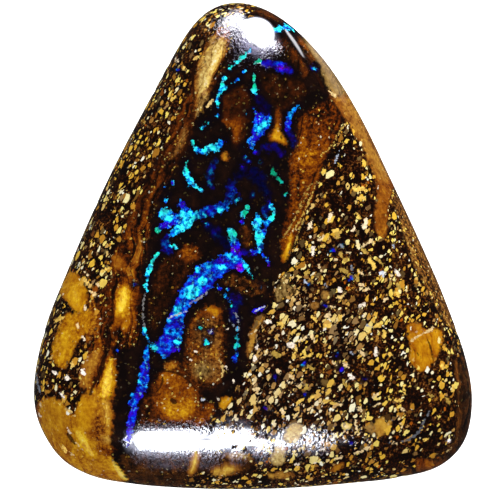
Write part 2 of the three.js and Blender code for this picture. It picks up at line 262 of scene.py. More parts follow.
# Pale hairlines, thin streaks of other minerals, the grains of the gravel that can be told apart and one
# painted reflection on the west rim: brightness, warmth from 0 for blue-white to 1 for gold, and one or
# more strokes, each of them corners (x, y, half width).
HAIRLINES = {
    "west grey line": (0.42, 0.3, [
        (145, 293, 0.4), (144.6, 297, 0.8), (143.4, 304, 0.7), (142.7, 315, 0.9), (143.6, 323, 0.9),
        (144.3, 327, 0.6),
    ]),
    "vein's white streak": (0.75, 0, [(168.6, 318, 0.5), (176, 315, 0.9), (186, 311.5, 0.6)]),
    "vein's grey edge": (0.5, 0.1, [(190, 303.5, 0.6), (198, 299, 1), (207, 292.5, 0.8)]),
    "branch's grey lines": (0.45, 0.1,
        [(233, 311, 0.5), (238, 318, 0.8), (239.3, 326, 0.8), (237.5, 332, 0.6)],
        [(228.5, 318, 0.4), (231, 323, 0.6), (235, 327, 0.6), (237.5, 332, 0.5)],
    ),
    "thumb's lavender bit": (0.7, 0, [(209.6, 333.5, 0.7), (211, 330.5, 0.6)]),
    "corner's cream streak": (0.7, 0.8, [(445.5, 452.5, 0.4), (448.5, 450.3, 0.8), (451.5, 448, 0.5)]),
    "small white grains": (1.1, 0.5,
        [(195.6, 351, 1), (196.4, 352, 1)], [(190, 359.5, 1), (191, 360.2, 1)],
        [(226, 328, 1), (227, 328.8, 1)], [(226.2, 367, 1.1), (226.8, 368.3, 1.2)],
        [(233, 381, 1), (234, 382, 1)], [(314.5, 462.5, 1.2), (316, 462.8, 1.2)],
        [(296, 464.5, 1.5), (297.5, 464.8, 1.7)], [(322, 450, 1.1), (324.5, 450.5, 1.2)],
    ),
    "white grains": (1.2, 0.45,
        [(266, 321.5, 1.6), (270, 322, 1.8)], [(289.8, 345, 2.4), (293, 345.3, 2.5)],
        [(257.2, 343.5, 1.2), (257, 347.5, 1.6)], [(254.8, 356.5, 1.5), (255, 360, 1.5)],
        [(339.5, 288.3, 1.8), (340.3, 290.6, 2)], [(359.5, 305.8, 1.5), (363.5, 304.8, 1.6)],
        [(396, 271, 1.5), (399, 275, 1.7)], [(376.5, 348.5, 1.3), (375.8, 354.5, 1.8)],
        [(349, 376, 1.8), (353.5, 378, 2.2)], [(313.5, 247.5, 1.7), (312.5, 251, 1.9), (313, 254.5, 1.2)],
    ),
    "cream grains": (1.0, 0.75,
        [(300, 340.5, 1.3), (305, 338, 1.5)], [(311, 335, 1.5), (315, 341.5, 1.5)],
        [(326.5, 316, 2), (329, 314.5, 2)], [(254, 383.5, 1), (255.3, 378.5, 1.7)],
        [(254.5, 389, 1.6), (259, 388.5, 1.7)], [(277.5, 370, 1.8), (280, 373, 1.5)],
        [(290, 375, 1.6), (293.5, 379.5, 1.2)], [(295.5, 384, 0.7), (299, 387, 0.9), (302, 383, 0.8)],
        [(339, 403, 1.6), (341, 405, 1.4)], [(333, 361, 1.2), (335.5, 364.5, 1.4)],
        [(344, 364, 1.6), (347.5, 366, 1.8)], [(318.5, 240.5, 1.2), (322, 240, 1.1), (323, 236, 1.3)],
        [(368.5, 243, 1.3), (371.5, 240.5, 1.7)], [(361.5, 247.5, 1.1), (364.5, 244.5, 1.2)],
        [(347.5, 252, 1.1), (350, 253, 1.2)], [(334.5, 259, 1.5), (337, 260, 1.4)],
        [(318.5, 265.5, 0.9), (321.5, 270.5, 1.2)], [(359.5, 271, 1.2), (362.5, 274.5, 1.1)],
        [(360, 284.5, 1.5), (363, 285.5, 1.3)], [(363.5, 290.5, 0.9), (369, 288.5, 1.3)],
        [(391.5, 274.5, 1.3), (390, 279, 1)], [(384, 300.5, 1.3), (386.5, 299.3, 1.5)],
        [(331.8, 306, 1.6), (334, 307.2, 1.6)], [(359.5, 351, 1.3), (363, 354.5, 2.2)],
        [(371.5, 396.5, 1.3), (379, 394.5, 0.9)], [(373, 407, 0.6), (380, 403, 0.9)],
        [(399.5, 408, 1.4), (405, 410.5, 1)], [(398.8, 417, 1.5), (400, 420, 1.3)],
        [(401, 424, 1.3), (402, 427.5, 1.4)], [(393.5, 443, 1.6), (396, 444, 1.2)],
        [(358.5, 408.5, 2), (360.5, 410.5, 2)], [(282, 410.5, 1.6), (283.5, 414, 1.7)],
        [(355.5, 421, 0.9), (356, 428, 1.1), (358.5, 434, 1.4)], [(354, 453.5, 0.9), (362.5, 451.5, 1.1)],
        [(363.5, 449.5, 1.1), (369, 448, 1.5)], [(336.5, 458.8, 0.9), (341.5, 457, 1.1)],
    ),
    "yellow grains": (0.95, 1,
        [(278.3, 324, 1.6), (283.5, 324, 1.8), (281.5, 328.5, 1)], [(292.5, 333, 1.8), (295.5, 331, 1.8)],
        [(325, 326.5, 2), (329.5, 325, 2)], [(339.5, 320, 1.4), (340, 316, 1.5)],
        [(312.5, 317, 2), (316.5, 320, 2)], [(301.5, 358.5, 0.9), (306, 357.5, 1.1), (312, 353.5, 1.2)],
        [(296, 346, 0.8), (295.5, 351, 1.2), (293.5, 357, 1.8)], [(297, 403, 1.2), (303, 399, 1.3)],
        [(309, 401.5, 1.6), (312.5, 396, 1.8)], [(323, 401.5, 1.5), (328.5, 400.5, 1.8)],
        [(356.5, 214, 1.3), (361, 218, 1.2)], [(332.5, 231, 0.9), (336.5, 229.5, 1.9), (341, 231.5, 0.9)],
        [(342.5, 229.5, 0.8), (345, 227, 0.9)], [(319, 247.5, 0.8), (323.5, 245, 1.6)],
        [(306, 242, 1.3), (307, 245, 1.4)], [(384, 331.5, 1.6), (385, 335, 2), (383.5, 339, 0.8)],
        [(374.5, 326.5, 1.6), (379, 325, 2.1)], [(388.5, 353, 1.6), (389.8, 355, 1.7)],
        [(442, 365.5, 1.7), (443.4, 368, 1.7)], [(452.8, 385.5, 1), (452.6, 391, 1.5)],
        [(395.5, 400, 1.2), (400.5, 400.5, 2.1)], [(387.5, 396.5, 0.9), (391, 399.5, 1.2)],
        [(404, 385.5, 1), (404.5, 394.5, 1.2)], [(424, 439.5, 1.3), (429, 439.5, 1)],
        [(330.5, 403, 1.2), (336, 403.5, 1.2)],
    ),
    "dull gold grains": (0.65, 1,
        [(307.5, 366.5, 1.4), (313, 369, 2)], [(306.5, 384.5, 1), (306.3, 388, 1.9)],
        [(344, 381, 1.9), (346, 384.5, 1.8)], [(336.5, 234.5, 1.6), (338.5, 237.5, 1.4)],
        [(362.5, 249.5, 2), (365.5, 252, 2)], [(340, 252.5, 1.2), (340.8, 256, 1.5)],
        [(344.5, 261, 1.7), (346.5, 258.5, 1.7)], [(377, 259, 1.5), (383, 264.5, 1.3)],
        [(308, 270, 0.9), (306, 274, 1.7)], [(341, 269.5, 1.7), (346.5, 272.5, 1.9)],
        [(356.5, 275.5, 1.3), (358, 280.5, 1.7)], [(390.5, 283, 1.5), (388.5, 288, 1.6)],
        [(397.5, 284, 1.6), (399, 287.5, 1.7)], [(428, 395, 1.3), (433.5, 397, 1.8)],
        [(446, 399, 1.5), (449, 402, 1.8)], [(274, 353, 2.4), (278, 355, 3)],
    ),
    "violet dash's core": (0.95, 0, [
        (254.5, 311, 0.7), (260, 308.4, 0.5), (263, 307.4, 0), (266, 306.4, 0.6),
    ]),
    "white scratch": (0.7, 0, [(339.3, 151, 0.5), (337.6, 156, 0.7), (334.6, 163, 0.6)]),
    "grey hairline": (0.3, 0.1, [
        (429.5, 411, 0.7), (423, 424, 1.2), (419, 432, 1.3), (412, 438.5, 1.1), (402, 441.5, 0.7),
    ]),
    "cream line in ochre": (0.85, 0.8, [
        (411, 341, 0.9), (417, 337, 1), (424, 333, 0.7), (430, 331, 1.2), (433.5, 327, 0.9),
    ]),
    "upper tan line": (0.7, 1, [
        (345, 124, 0.4), (340, 131, 0.6), (335, 140, 0.7), (328, 151, 0.6), (321.5, 153.5, 0.7),
    ]),
    "lower tan line": (0.72, 1, [
        (316, 181, 0.8), (313.5, 192, 0.5), (308, 204, 0.8), (303.5, 214, 0.6), (299, 223, 0.8),
        (294, 230, 0.6),
    ]),
    "second tan line": (0.62, 1, [
        (308, 191, 0.3), (302, 206, 0.4), (296, 216, 0.3), (289, 229, 0.7), (283, 238, 0.4),
    ]),
    "third tan line": (0.6, 1, [(303.5, 219, 0.6), (299.5, 229, 0.4), (296, 240, 0.5), (294, 247, 0.2)]),
    "fourth tan line": (0.55, 1, [
        (312, 184, 0.3), (306, 190, 0.5), (303, 197, 0.4), (298, 210, 0.3), (296, 213, 0.2),
    ]),
    "cream edge of thumb": (0.8, 0.9, [
        (219, 359, 0.2), (222, 366, 0.7), (223.5, 373, 0.9), (221, 378, 0.5), (215, 382, 0.2),
    ]),
    "white fleck": (0.85, 0.1, [(200.5, 399.5, 0.5), (204, 399, 1), (207.5, 400.5, 0.5)]),
    "cream fleck": (0.8, 0.5, [(216, 397, 0.6), (219, 399.5, 0.8)]),
    # A painted reflection: pale blue-white marks along the west rim, where the polish mirrors light, put into
    # the surface's colour.
    "painted west rim reflection": (0.45, 0, [(36, 372, 0.4), (37, 380, 1), (39, 389, 0.8), (41, 394, 0.2)]),
    "white grains of the left side": (1.35, 0.42,
        [(82.3, 371.5, 2.5), (83.4, 373, 2.5)], [(66.5, 377.5, 2.2), (67.5, 378.6, 2.1)],
        [(53.5, 371.5, 1.3), (56, 374, 1.4)], [(60.5, 393.5, 1.2), (64, 398, 1.3)],
    ),
    "pale blue bit": (1, 0.1, [(381.5, 273.5, 2.2), (383, 274.5, 2.2)]),
    "blue-white bits": (0.8, 0, [(305, 281, 1.2), (306.5, 282.5, 0.8)], [(179, 86, 0.9), (179, 88, 1.2)]),
    "grey-blue bits": (0.5, 0,
        [(325, 284.5, 0.9), (327.5, 287, 0.9)], [(340.5, 245, 1.1), (342.5, 246, 1)],
    ),
    "lavender bits": (0.6, 0,
        [(368, 320, 0.7), (364.5, 324, 0.8), (371, 327, 0.9)], [(392.5, 245, 0.9), (394, 246.5, 0.9)],
        [(350.5, 352.5, 0.9), (354, 354.5, 1.1)],
    ),
    "tall grey-blue bit": (0.45, 0, [(351.5, 265, 0.8), (352, 272, 0.8)]),
    "tall white grains": (1.15, 0.62,
        [(331.5, 213, 1), (330, 217, 1.8), (329, 221.5, 1)],
        [(311.5, 222.5, 1.2), (309.5, 227, 2), (308.5, 229, 1)], [(355, 224, 0.6), (352.5, 231, 1.1)],
        [(366.5, 219, 1.4), (365.5, 223, 2.2), (364.5, 227.5, 2.4)],
    ),
    "gold grains": (1, 1,
        [(353.5, 187.5, 1.6), (357.5, 191, 2.2), (361, 187, 1.8), (366, 191, 1.4)],
        [(370.5, 257, 1), (369, 262, 2.4), (373.5, 264, 2), (374, 269, 1.8)],
        [(395, 292.5, 1.2), (398.5, 293.5, 2.2), (398, 297, 0.8)],
    ),
    "smaller gold grains": (0.9, 1,
        [(358, 198.5, 1.4), (363, 197.5, 2), (365, 200, 1)],
        [(55.5, 320.5, 1.3), (60, 318.5, 2), (64, 317, 1)],
    ),
    "bent gold grains": (0.95, 0.9,
        [(337, 297, 1.2), (340.5, 298, 1.6), (344.5, 294, 1)], [(66, 408.5, 1.1), (70, 412, 1.6)],
    ),
    "cream bit": (0.9, 0.85, [(207, 106.5, 1.2), (210, 103, 1.8), (212, 100, 1)]),
    "small cream bits": (0.9, 0.8,
        [(329.5, 91.5, 0.8), (333, 94, 1.6), (336, 96.5, 0.8)], [(76, 443, 0.6), (79, 446, 0.9)],
        [(71, 453, 0.8), (73, 455, 0.9)],
    ),
    "white grain at the upper left edge": (1.2, 0.6, [(175, 60.5, 1.2), (177.5, 60.8, 1.6)]),
    "yellow grain at the upper left edge": (1.05, 0.95, [(182.5, 66.5, 1.4), (184.5, 69, 1.6)]),
    "slanting gold grain": (0.95, 1, [(101.5, 272, 0.9), (106, 269.5, 1.5), (109.5, 267, 0.9)]),
    "cream grain by the first ochre": (1.1, 0.7, [(86, 272.5, 0.9), (87, 275, 1.4)]),
    "yellow grains of the left side": (1, 0.95,
        [(84.5, 279.5, 1.6), (86.5, 283, 2.2)], [(72, 361.5, 1.1), (73, 366.5, 1.7)],
    ),
    "cream grains of the left side": (1.05, 0.8,
        [(91, 291.5, 1.4), (94.5, 294.5, 2.2)], [(77.4, 324.5, 1.2), (78, 327.5, 1.5)],
    ),
    "cream grain right of the first ochre": (1.05, 0.75, [(97, 283, 1.1), (98.5, 285.5, 1.5)]),
    "cream grain in the first ochre": (1.1, 0.65, [(84.8, 306.5, 1.1), (85.2, 309.5, 1.3)]),
    "white grain by the second ochre": (1.2, 0.55, [(81.5, 337.5, 1.2), (84, 339, 1.4)]),
    "corner white grain": (1.1, 0.6, [(67.5, 428.5, 0.8), (70, 433, 1.1)]),
    "corner yellow grain": (1.1, 1, [(62.5, 446.5, 1.4), (65.5, 451, 1.9)]),
    "far left cream grain": (0.9, 0.7, [(40, 404, 0.8), (41, 406, 1)]),
    "far left white grain": (1, 0.5, [(39.3, 413.5, 0.8), (40.2, 416, 1)]),
}

# Dark cracks: corners (x, y, half width).
CRACKS = {
    "ochre crack": [(426, 338, 0.5), (430, 344, 0.9), (431.5, 353, 0.9), (434, 361, 0.7)],
    "small ochre crack": [(413, 349, 0.6), (417, 353, 0.7), (421, 358, 0.4)],
    "yellow streak's crack": [
        (104.7, 361, 0.7), (103, 371, 0.9), (97.8, 379, 1), (93, 386, 1.1), (90.4, 394, 1.6),
    ],
    "brown crack": [
        (113.5, 318, 0.6), (113, 300, 0.8), (117, 283, 0.7), (126, 273, 0.6), (117, 271, 0.7),
        (109, 262, 0.6),
    ],
    "upper brown crack": [
        (134, 233, 0.7), (138, 241, 0.8), (134, 252, 0.8), (130, 262, 0.7), (131, 275, 0.6),
    ],
    "amber dot": [(281, 136, 1.1), (281.3, 138.4, 1.1)],
    "orange patch crack": [
        (163, 371, 0.6), (172, 371.5, 1.2), (182, 375, 1.3), (191, 383, 1), (197, 391, 0.5),
    ],
    "orange patch fold": [(160, 374, 0.3), (163.5, 379, 0.8), (161, 386, 0.8), (156, 393, 0.4)],
    "third ochre's crack": [(104.7, 352, 0.5), (103.8, 361, 0.9), (101, 370, 0.9)],
    "orange patch spot": [(172, 400, 2.2), (174.5, 402, 2.4)],
    "corner crack": [(68, 434, 1.6), (71, 439, 2), (75, 444, 1)],
    "edge of rim": [(303, 52, 0.7), (314, 70, 1.4), (323, 87, 1.2)],
    "cream band's left edge": [(195, 62, 0.9), (193, 74, 1.1), (193, 88, 1.1), (194, 99, 0.8)],
    "tan streak's edge": [(190, 131, 1.2), (188, 143, 1.4), (181, 156, 1.2), (171, 168, 1)],
}

# The ground of the stone, painted in this order. Clay is smooth iron clay. It has its look, which is tone,
# greyness, streakiness and speckle, and its outline. The tones are 0 black, 1 dark red-brown, 2 red-brown,
# 3 orange-brown, 4 ochre, 5 golden, 6 yellow and 7 cream. Gravel is dark ironstone with pale grains. The
# first to the fourth ochre lie down the left side.
GRAVEL = "gravel"
GROUND = {
    "red-brown band": ((1.1, 0.05, 0.6, 0.5), [
        (222, 22), (206, 42), (198, 60), (189, 85), (178, 110), (166, 140), (156, 165), (140, 190),
        (128, 215), (119, 240), (135, 238), (150, 232), (152, 214), (157, 198), (168, 182), (177, 165),
        (189, 148), (194, 130), (196, 112), (204, 102), (216, 84), (232, 50), (232, 30),
    ]),
    "lower band": ((1.25, 0, 0.7, 0.7), [
        (119, 232), (135, 226), (149, 214), (150, 228), (147.5, 246), (143, 265), (140, 290), (138.5, 320),
        (141, 345), (130, 348), (118, 352), (112, 360), (104, 378), (95, 392), (84, 396), (82, 352),
        (96, 330), (96, 312), (99, 293), (110, 275), (109, 262), (115, 249),
    ]),
    "lower left ochre": ((3.85, 0.05, 0.25, 0.5), [
        (84, 390), (97, 384), (101, 398), (112, 401), (113, 420), (111, 440), (112, 457), (119, 470),
        (126, 488), (104, 488), (76, 474), (52, 452), (38, 430), (36, 405), (50, 393), (66, 402), (76, 404),
    ]),
    "lower brown": ((1.15, 0.4, 0.2, 0.3), [
        (136, 492), (118, 458), (128, 452), (170, 452), (210, 450), (262, 452), (280, 470), (262, 492),
    ]),
    "pale tan below bar": ((4.6, 0.8, 0.1, 0.8), [
        (224, 453), (234, 450), (250, 449), (262, 452), (266, 458), (256, 462), (242, 460), (230, 461),
    ]),
    "brown islands": ((0.65, 0.1, 0.2, 0.4), [
        (150, 328), (148, 300), (153, 277), (162, 263), (170, 253), (180, 247), (190, 245), (204, 252),
        (197, 264), (187, 277), (174, 296), (164, 315), (155, 333),
    ]),
    "red island": ((2.1, 0, 0.2, 0.8), [
        (178, 248), (188, 244), (203, 251), (198, 261), (187, 262), (178, 256),
    ]),
    "top island": ((0.95, 0, 0.1, 0.15), [
        (222, 96), (230, 90), (240, 85), (250, 92), (252, 108), (250, 122), (247, 134), (242, 142),
        (234, 147), (230, 139), (232, 130), (222, 118),
    ]),
    "top island's heart": ((2.9, 0, 0.2, 0.5), [
        (222, 119), (231, 120), (238, 118), (243, 124), (239, 134), (236, 146), (232, 142), (232, 130),
    ]),
    "upper brown": ((0.75, 0.05, 0.1, 0.2), [
        (262, 74), (276, 74), (292, 78), (306, 82), (308, 94), (298, 103), (288, 108), (282, 112),
        (274, 108), (268, 96), (262, 86),
    ]),
    "top edge brown": ((1.5, 0.15, 0.3, 0.2), [
        (238, 5), (250, 5), (264, 9), (278, 16), (288, 24), (280, 24), (268, 17), (252, 12), (240, 11),
    ]),
    "tip brown": ((1.1, 0.1, 0.6, 0.1), [
        (276, 38), (282, 34), (292, 46), (304, 62), (312, 76), (304, 78), (294, 64), (284, 56), (276, 50),
    ]),
    "amber stem": ((2.6, 0, 0.2, 0.4), [
        (276, 107), (281, 107), (280, 116), (281, 126), (275, 126), (275, 116),
    ]),
    "amber triangle": ((4.4, 0, 0.1, 0.3), [
        (277, 121), (281, 131), (288.5, 145.5), (279, 141), (270.5, 139.5), (272.5, 132),
    ]),
    "amber fleck": ((3.8, 0.1, 0, 0.3), [(223, 151), (227.5, 152), (228, 160), (224, 162), (221.5, 157)]),
    "arm's island": ((1.25, 0.2, 0, 0.5), [
        (238, 228), (244, 222), (251, 228), (253, 240), (250, 249), (243, 247), (239, 238),
    ]),
    "diagonal's island": ((1.2, 0.3, 0, 0.8), [
        (220, 284), (230, 274), (240, 273), (248, 280), (262, 280), (268, 290), (258, 296), (246, 297),
        (236, 290), (227, 286),
    ]),
    "dark red granular": ((1.2, 0, 0.3, 0.9), [
        (306, 113), (318, 104), (330, 99), (338, 108), (344, 121), (337, 134), (329, 128), (314, 114),
    ]),
    "granular": ((2.05, 0, 0.4, 0.8), [
        (297, 120), (306, 114), (318, 118), (329, 127), (336, 136), (337, 142), (328, 152), (321, 168),
        (320, 182), (313, 199), (305, 214), (300, 231), (289, 249), (279, 250), (282, 236), (286, 222),
        (289, 199), (289, 175), (290, 160), (296, 144), (298, 132),
    ]),
    "granular heart": ((2.9, 0, 0.3, 0.9), [
        (298, 145), (308, 143), (318, 150), (316, 164), (305, 172), (294, 168), (292, 158),
    ]),
    "yellow lens": ((4.7, 0, 0.5, 0.2), [
        (290, 234), (294, 237), (291, 248), (287, 258), (283, 261), (281, 257), (285, 244),
    ]),
    "right gravel": (GRAVEL, [
        (347, 121), (352, 129), (357, 141), (366, 150), (371, 168), (378, 182), (379, 195), (376, 208),
        (376, 238), (389, 236), (389, 215), (394, 193), (402, 184), (470, 300), (490, 400), (490, 470),
        (450, 500), (190, 500), (186, 480), (206, 474), (232, 478), (258, 468), (250, 452), (226, 452),
        (212, 440), (214, 424), (222, 410), (236, 396), (239, 387), (246, 374), (249, 359), (253, 343),
        (253, 328), (262, 317), (270, 308), (268, 298), (278, 276), (289, 267), (293, 252), (301, 240),
        (304, 224), (314, 201), (321, 182), (322, 168), (330, 155), (338, 140),
    ]),
    "left gravel": (GRAVEL, [
        (232, -6), (224, 14), (207, 38), (198, 57), (188, 84), (176, 110), (165, 139), (153, 164),
        (137, 190), (127, 214), (122, 234), (115, 249), (110, 254), (109, 266), (110, 275), (104, 286),
        (99, 294), (96, 302), (96, 316), (92, 330), (86, 345), (84, 356), (86, 374), (82, 392), (79, 402),
        (75, 413), (70, 413), (66, 404), (60, 397), (45, 396), (20, 404), (20, 300), (150, -6),
    ]),
    "tip gravel": (GRAVEL, [(215, -6), (262, -6), (262, 9), (236, 14), (222, 24), (210, 24)]),
    "right edge brown": ((1.4, 0.4, 0.5, 0.1), [
        (452, 366), (456, 392), (457, 420), (452, 440), (438, 455), (416, 466), (396, 470), (404, 478),
        (500, 470), (500, 360), (458, 352),
    ]),
    "right rim": ((2.4, 0.5, 0.6, 1.3), [
        (404, 184), (420, 214), (440, 254), (460, 300), (470, 330), (449, 332), (438, 312), (430, 297),
        (420, 278), (412, 264), (407, 250), (403, 235), (399, 221), (393, 205), (388, 192),
    ]),
    "corner orange": ((2.5, 0, 0.5, 0.1), [
        (414, 457), (424, 457), (436, 462), (444, 458), (440, 468), (420, 473), (414, 466),
    ]),
    "cream band": ((4.3, 0.75, 0.7, 1), [
        (212, 33), (221, 35), (230, 39), (229, 50), (223, 57), (216, 70), (212, 84), (209, 96), (203, 104),
        (199, 115), (194, 118), (196, 104), (194.5, 92), (194.5, 80), (197, 64), (203, 49),
    ]),
    "cream band's core": ((6.5, 0.45, 0.5, 1), [
        (219, 50), (225, 46), (222, 58), (214, 74), (210, 90), (203, 98), (201, 92), (206, 78), (212, 62),
    ]),
    "tan streak": ((3.6, 0.8, 0.5, 0.9), [
        (183, 125), (188, 127), (187.5, 137), (183, 149), (177, 156), (169, 162), (168, 158), (174, 150),
        (179, 138),
    ]),
    "rim band": ((2.8, 0.12, 0.15, 0.4), [
        (301, 36), (306, 47), (317, 62), (325, 80), (330, 95), (337, 108), (346, 121), (352, 133),
        (361, 147), (368, 165), (375, 181), (376, 193), (374, 207), (373, 223), (377, 239), (385, 241),
        (390, 226), (388, 208), (393, 191), (400, 170), (380, 120), (350, 60), (320, 20),
    ]),
    "corner edge orange": ((2.3, 0.1, 0.2, 0.2), [
        (298, 35), (306, 42), (313, 54), (317, 62), (311, 60), (304, 50), (298, 42),
    ]),
    "rim band's grey end": ((3.6, 0.9, 0.3, 0.3), [
        (301, 36), (306, 47), (317, 62), (325, 80), (330, 95), (336, 100), (352, 96), (345, 50), (318, 24),
    ]),
    "rim band's middle": ((3.6, 0.35, 0.3, 0.4), [
        (336, 100), (345, 120), (356, 138), (366, 158), (376, 176), (384, 186), (400, 170), (380, 120),
        (356, 90),
    ]),
    "gravel tan edge": ((4.1, 0.35, 0.3, 0.5), [
        (264, 313), (267, 318), (258, 328), (256, 342), (252, 353), (248, 358), (247, 346), (250, 332),
        (256, 321),
    ]),
    "grey tan": ((2.9, 0.9, 0.7, 1.2), [
        (275, 290), (279, 283), (281, 274), (287, 274.5), (289, 284), (297, 290), (296, 295), (284, 302),
        (274, 303),
    ]),
    "grey triangle": ((2.8, 0.9, 0, 0.1), [(316, 378), (332, 378), (328, 389), (322, 386)]),
    "tan patch": ((3.9, 0.6, 0.1, 0.3), [(321, 290), (328, 289), (332, 296), (327, 302), (320, 299)]),
    "upper tan patch": ((3.6, 0.5, 0.1, 0.3), [(310, 301), (319, 301), (322, 306), (316, 311), (309, 309)]),
    "ochre patch": ((3.95, 0, 0.25, 0.15), [
        (405, 325), (413, 321), (422, 322), (425, 330), (433, 327), (445, 330), (444, 342), (441, 352),
        (436, 360), (433, 367), (420, 374), (412, 368), (408, 358), (410, 347), (406, 336),
    ]),
    "ochre patch's top": ((3.2, 0.1, 0.2, 0.3), [
        (407, 325), (414, 322), (421, 323), (423, 330), (416, 335), (408, 337),
    ]),
    "lower tan patch": ((4.4, 0.3, 0.1, 0.3), [
        (374, 420), (383, 415), (393, 418), (392, 427), (384, 436), (378, 440), (372, 430),
    ]),
    "lower tan patch's foot": ((3.8, 0.7, 0.1, 0.3), [
        (362, 424), (373, 421), (378, 438), (372, 436), (364, 430),
    ]),
    "cream blob": ((5.1, 0.75, 0, 1), [
        (288, 425), (295, 422), (303, 424), (306, 430), (300, 440), (293, 444), (286, 444), (281, 438),
        (284, 431),
    ]),
    "lower cream blob": ((4.9, 0.8, 0, 0.8), [
        (274, 446), (280, 443), (286, 445), (287.5, 457), (283, 467), (273, 466.5), (269, 459), (272, 452),
    ]),
    "small cream grain": ((7.1, 0.1, 0, 0.1), [(340, 423), (346, 421), (352, 425), (350, 431), (342, 430)]),
    "bottom ochre": ((4.1, 0.35, 0.4, 0.3), [(264, 472), (284, 470), (297, 473), (294, 480), (268, 480)]),
    "bottom right ochre": ((3.7, 0.1, 0.3, 0.3), [
        (326, 472), (334, 464), (344, 460), (346, 466), (336, 474),
    ]),
    "bottom left ochre": ((4.9, 0.3, 0.4, 0.4), [
        (207, 470), (224, 461), (242, 466), (238, 474), (216, 479),
    ]),
    "bottom yellow streak": ((7.3, 0.1, 0.3, 0.1), [
        (193, 450), (200, 451), (199, 462), (193, 476), (187, 474), (191, 462),
    ]),
    "brown beside vein": ((0.9, 0.1, 0.2, 0.7), [
        (138, 404), (150, 386), (157, 374), (170, 366), (186, 372), (200, 388), (206, 404), (214, 420),
        (206, 432), (160, 434), (137, 432),
    ]),
    "ochre bit above the orange patch": ((3.2, 0.1, 0.1, 0.7), [
        (163, 367), (168, 361), (177, 361), (182, 367), (176, 371), (167, 371),
    ]),
    "orange patch": ((2.7, 0, 0.15, 0.6), [
        (158, 376), (166, 368), (180, 370), (190, 378), (198, 390), (201, 402), (199, 414), (188, 422),
        (168, 424), (158, 418), (152, 409), (153, 397), (157, 388),
    ]),
    "orange patch's ochre": ((4, 0, 0.1, 0.7), [
        (164, 398), (178, 404), (194, 400), (196, 412), (184, 420), (168, 420), (160, 410),
    ]),
    "orange corner": ((3.5, 0, 0.1, 0.5), [(158, 374), (166, 370), (172, 379), (168, 386), (160, 384)]),
    "brown beside orange": ((2.5, 0, 0.2, 0.6), [
        (199, 408), (208, 402), (216, 404), (212, 420), (204, 426), (188, 425), (197, 416),
    ]),
    "thumb's shade": ((1.2, 0.1, 0.2, 0.7), [
        (186, 336), (189, 321), (197, 311), (207, 306), (216, 309), (223, 318), (226, 330), (226, 372),
        (222, 385), (207, 390), (190, 386), (182, 372), (184, 350),
    ]),
    "thumb": ((2.55, 0.45, 0.3, 1), [
        (191, 334), (194, 323), (200, 317), (209, 313), (218, 318), (221, 328), (222, 343), (222, 360),
        (224, 373), (220, 381), (208, 385), (195, 381), (188, 370), (190, 350),
    ]),
    "thumb's red side": ((1.9, 0.1, 0.2, 0.8), [
        (191, 344), (198, 340), (204, 346), (203, 358), (196, 364), (189, 360),
    ]),
    "thumb's warm side": ((3.2, 0.15, 0.2, 0.8), [
        (210, 343), (218, 345), (221, 356), (216, 362), (208, 360), (207, 350),
    ]),
    "thumb's grey heart": ((2.9, 0.9, 0.1, 0.9), [
        (194, 364), (206, 360), (214, 368), (210, 378), (198, 380), (192, 373),
    ]),
    "thumb's cap": ((3.8, 0, 0.1, 0.4), [
        (194, 321), (201, 312), (205, 307), (211, 305.5), (217, 307), (220.5, 313), (219.5, 318),
        (212, 318), (206, 314), (200, 318),
    ]),
    "bright orange bit": ((4.6, 0, 0.2, 0.3), [
        (218, 401), (226, 397), (234, 397), (231, 403), (226, 410), (219, 411),
    ]),
    "third ochre": ((3.45, 0.2, 0.2, 0.5), [
        (82, 356), (88, 350), (96, 347), (104, 352), (103, 362), (98, 372), (93, 379), (91, 387), (86, 391),
        (79, 388), (77, 378), (81, 366),
    ]),
    "first ochre": ((4.1, 0, 0.15, 0.4), [
        (66, 270), (77, 271), (86, 284), (90, 297), (86, 310), (77, 319), (71, 308), (63, 299), (56, 290),
    ]),
    "first ochre's heart": ((5, 0, 0.1, 0.3), [
        (68, 292), (74, 283), (81, 287), (83, 298), (79, 309), (72, 306),
    ]),
    "mottled ochre": ((2.7, 0.1, 0.2, 1.2), [
        (86, 296), (95, 298), (99, 312), (98, 328), (92, 342), (85, 346), (84, 334), (88, 316),
    ]),
    "second ochre": ((3.95, 0, 0.2, 0.6), [
        (66, 311), (76, 313), (85, 309), (94, 310), (95, 322), (90, 332), (82, 338), (75, 348), (71, 361),
        (65, 372), (55, 366), (49, 355), (52, 342), (57, 330), (61, 321),
    ]),
    "second ochre's heart": ((4.6, 0, 0.1, 0.35), [
        (57, 340), (64, 330), (69, 334), (68, 350), (66, 364), (59, 364), (55, 353),
    ]),
    "fourth ochre": ((4, 0.05, 0.15, 0.3), [
        (45, 398), (55, 395), (63, 401), (66, 411), (66, 427), (64, 442), (54, 443), (46, 432), (40, 420),
        (41, 407),
    ]),
    "ochre bulb": ((3.5, 0.1, 0.2, 0.1), [
        (111, 254), (120, 252), (126, 260), (124, 270), (115, 273), (110, 265),
    ]),
    "light streak": ((4.2, 0.25, 0.6, 0.1), [
        (139, 235), (143, 236), (143, 250), (138, 263), (133, 265), (132, 260), (137, 250),
    ]),
    "light streak's foot": ((4, 0.2, 0.5, 0.1), [
        (127, 265), (133, 266), (134, 276), (129, 278), (126, 272),
    ]),
    "orange spot": ((4.6, 0, 0.2, 0), [(146, 220), (149, 220), (149.5, 228), (146, 229)]),
    "dark band by left gravel": ((0.9, 0, 0.5, 0.5), [
        (99, 298), (104, 284), (110, 276), (114, 290), (112, 310), (112, 330), (106, 342), (98, 334),
    ]),
    "gold round yellow streak": ((3.2, 0, 0.4, 0.6), [
        (114, 296), (118, 283), (124, 277), (130, 284), (132, 300), (134, 314), (130, 326), (122, 328),
        (115, 320),
    ]),
    "yellow streak": ((5.9, 0, 0.1, 0.7), [
        (118, 288), (123, 285), (129, 286), (131.5, 296), (128, 310), (122, 316), (115, 315), (114, 306),
        (117, 298),
    ]),
    "below yellow streak": ((4, 0, 0.6, 0.3), [
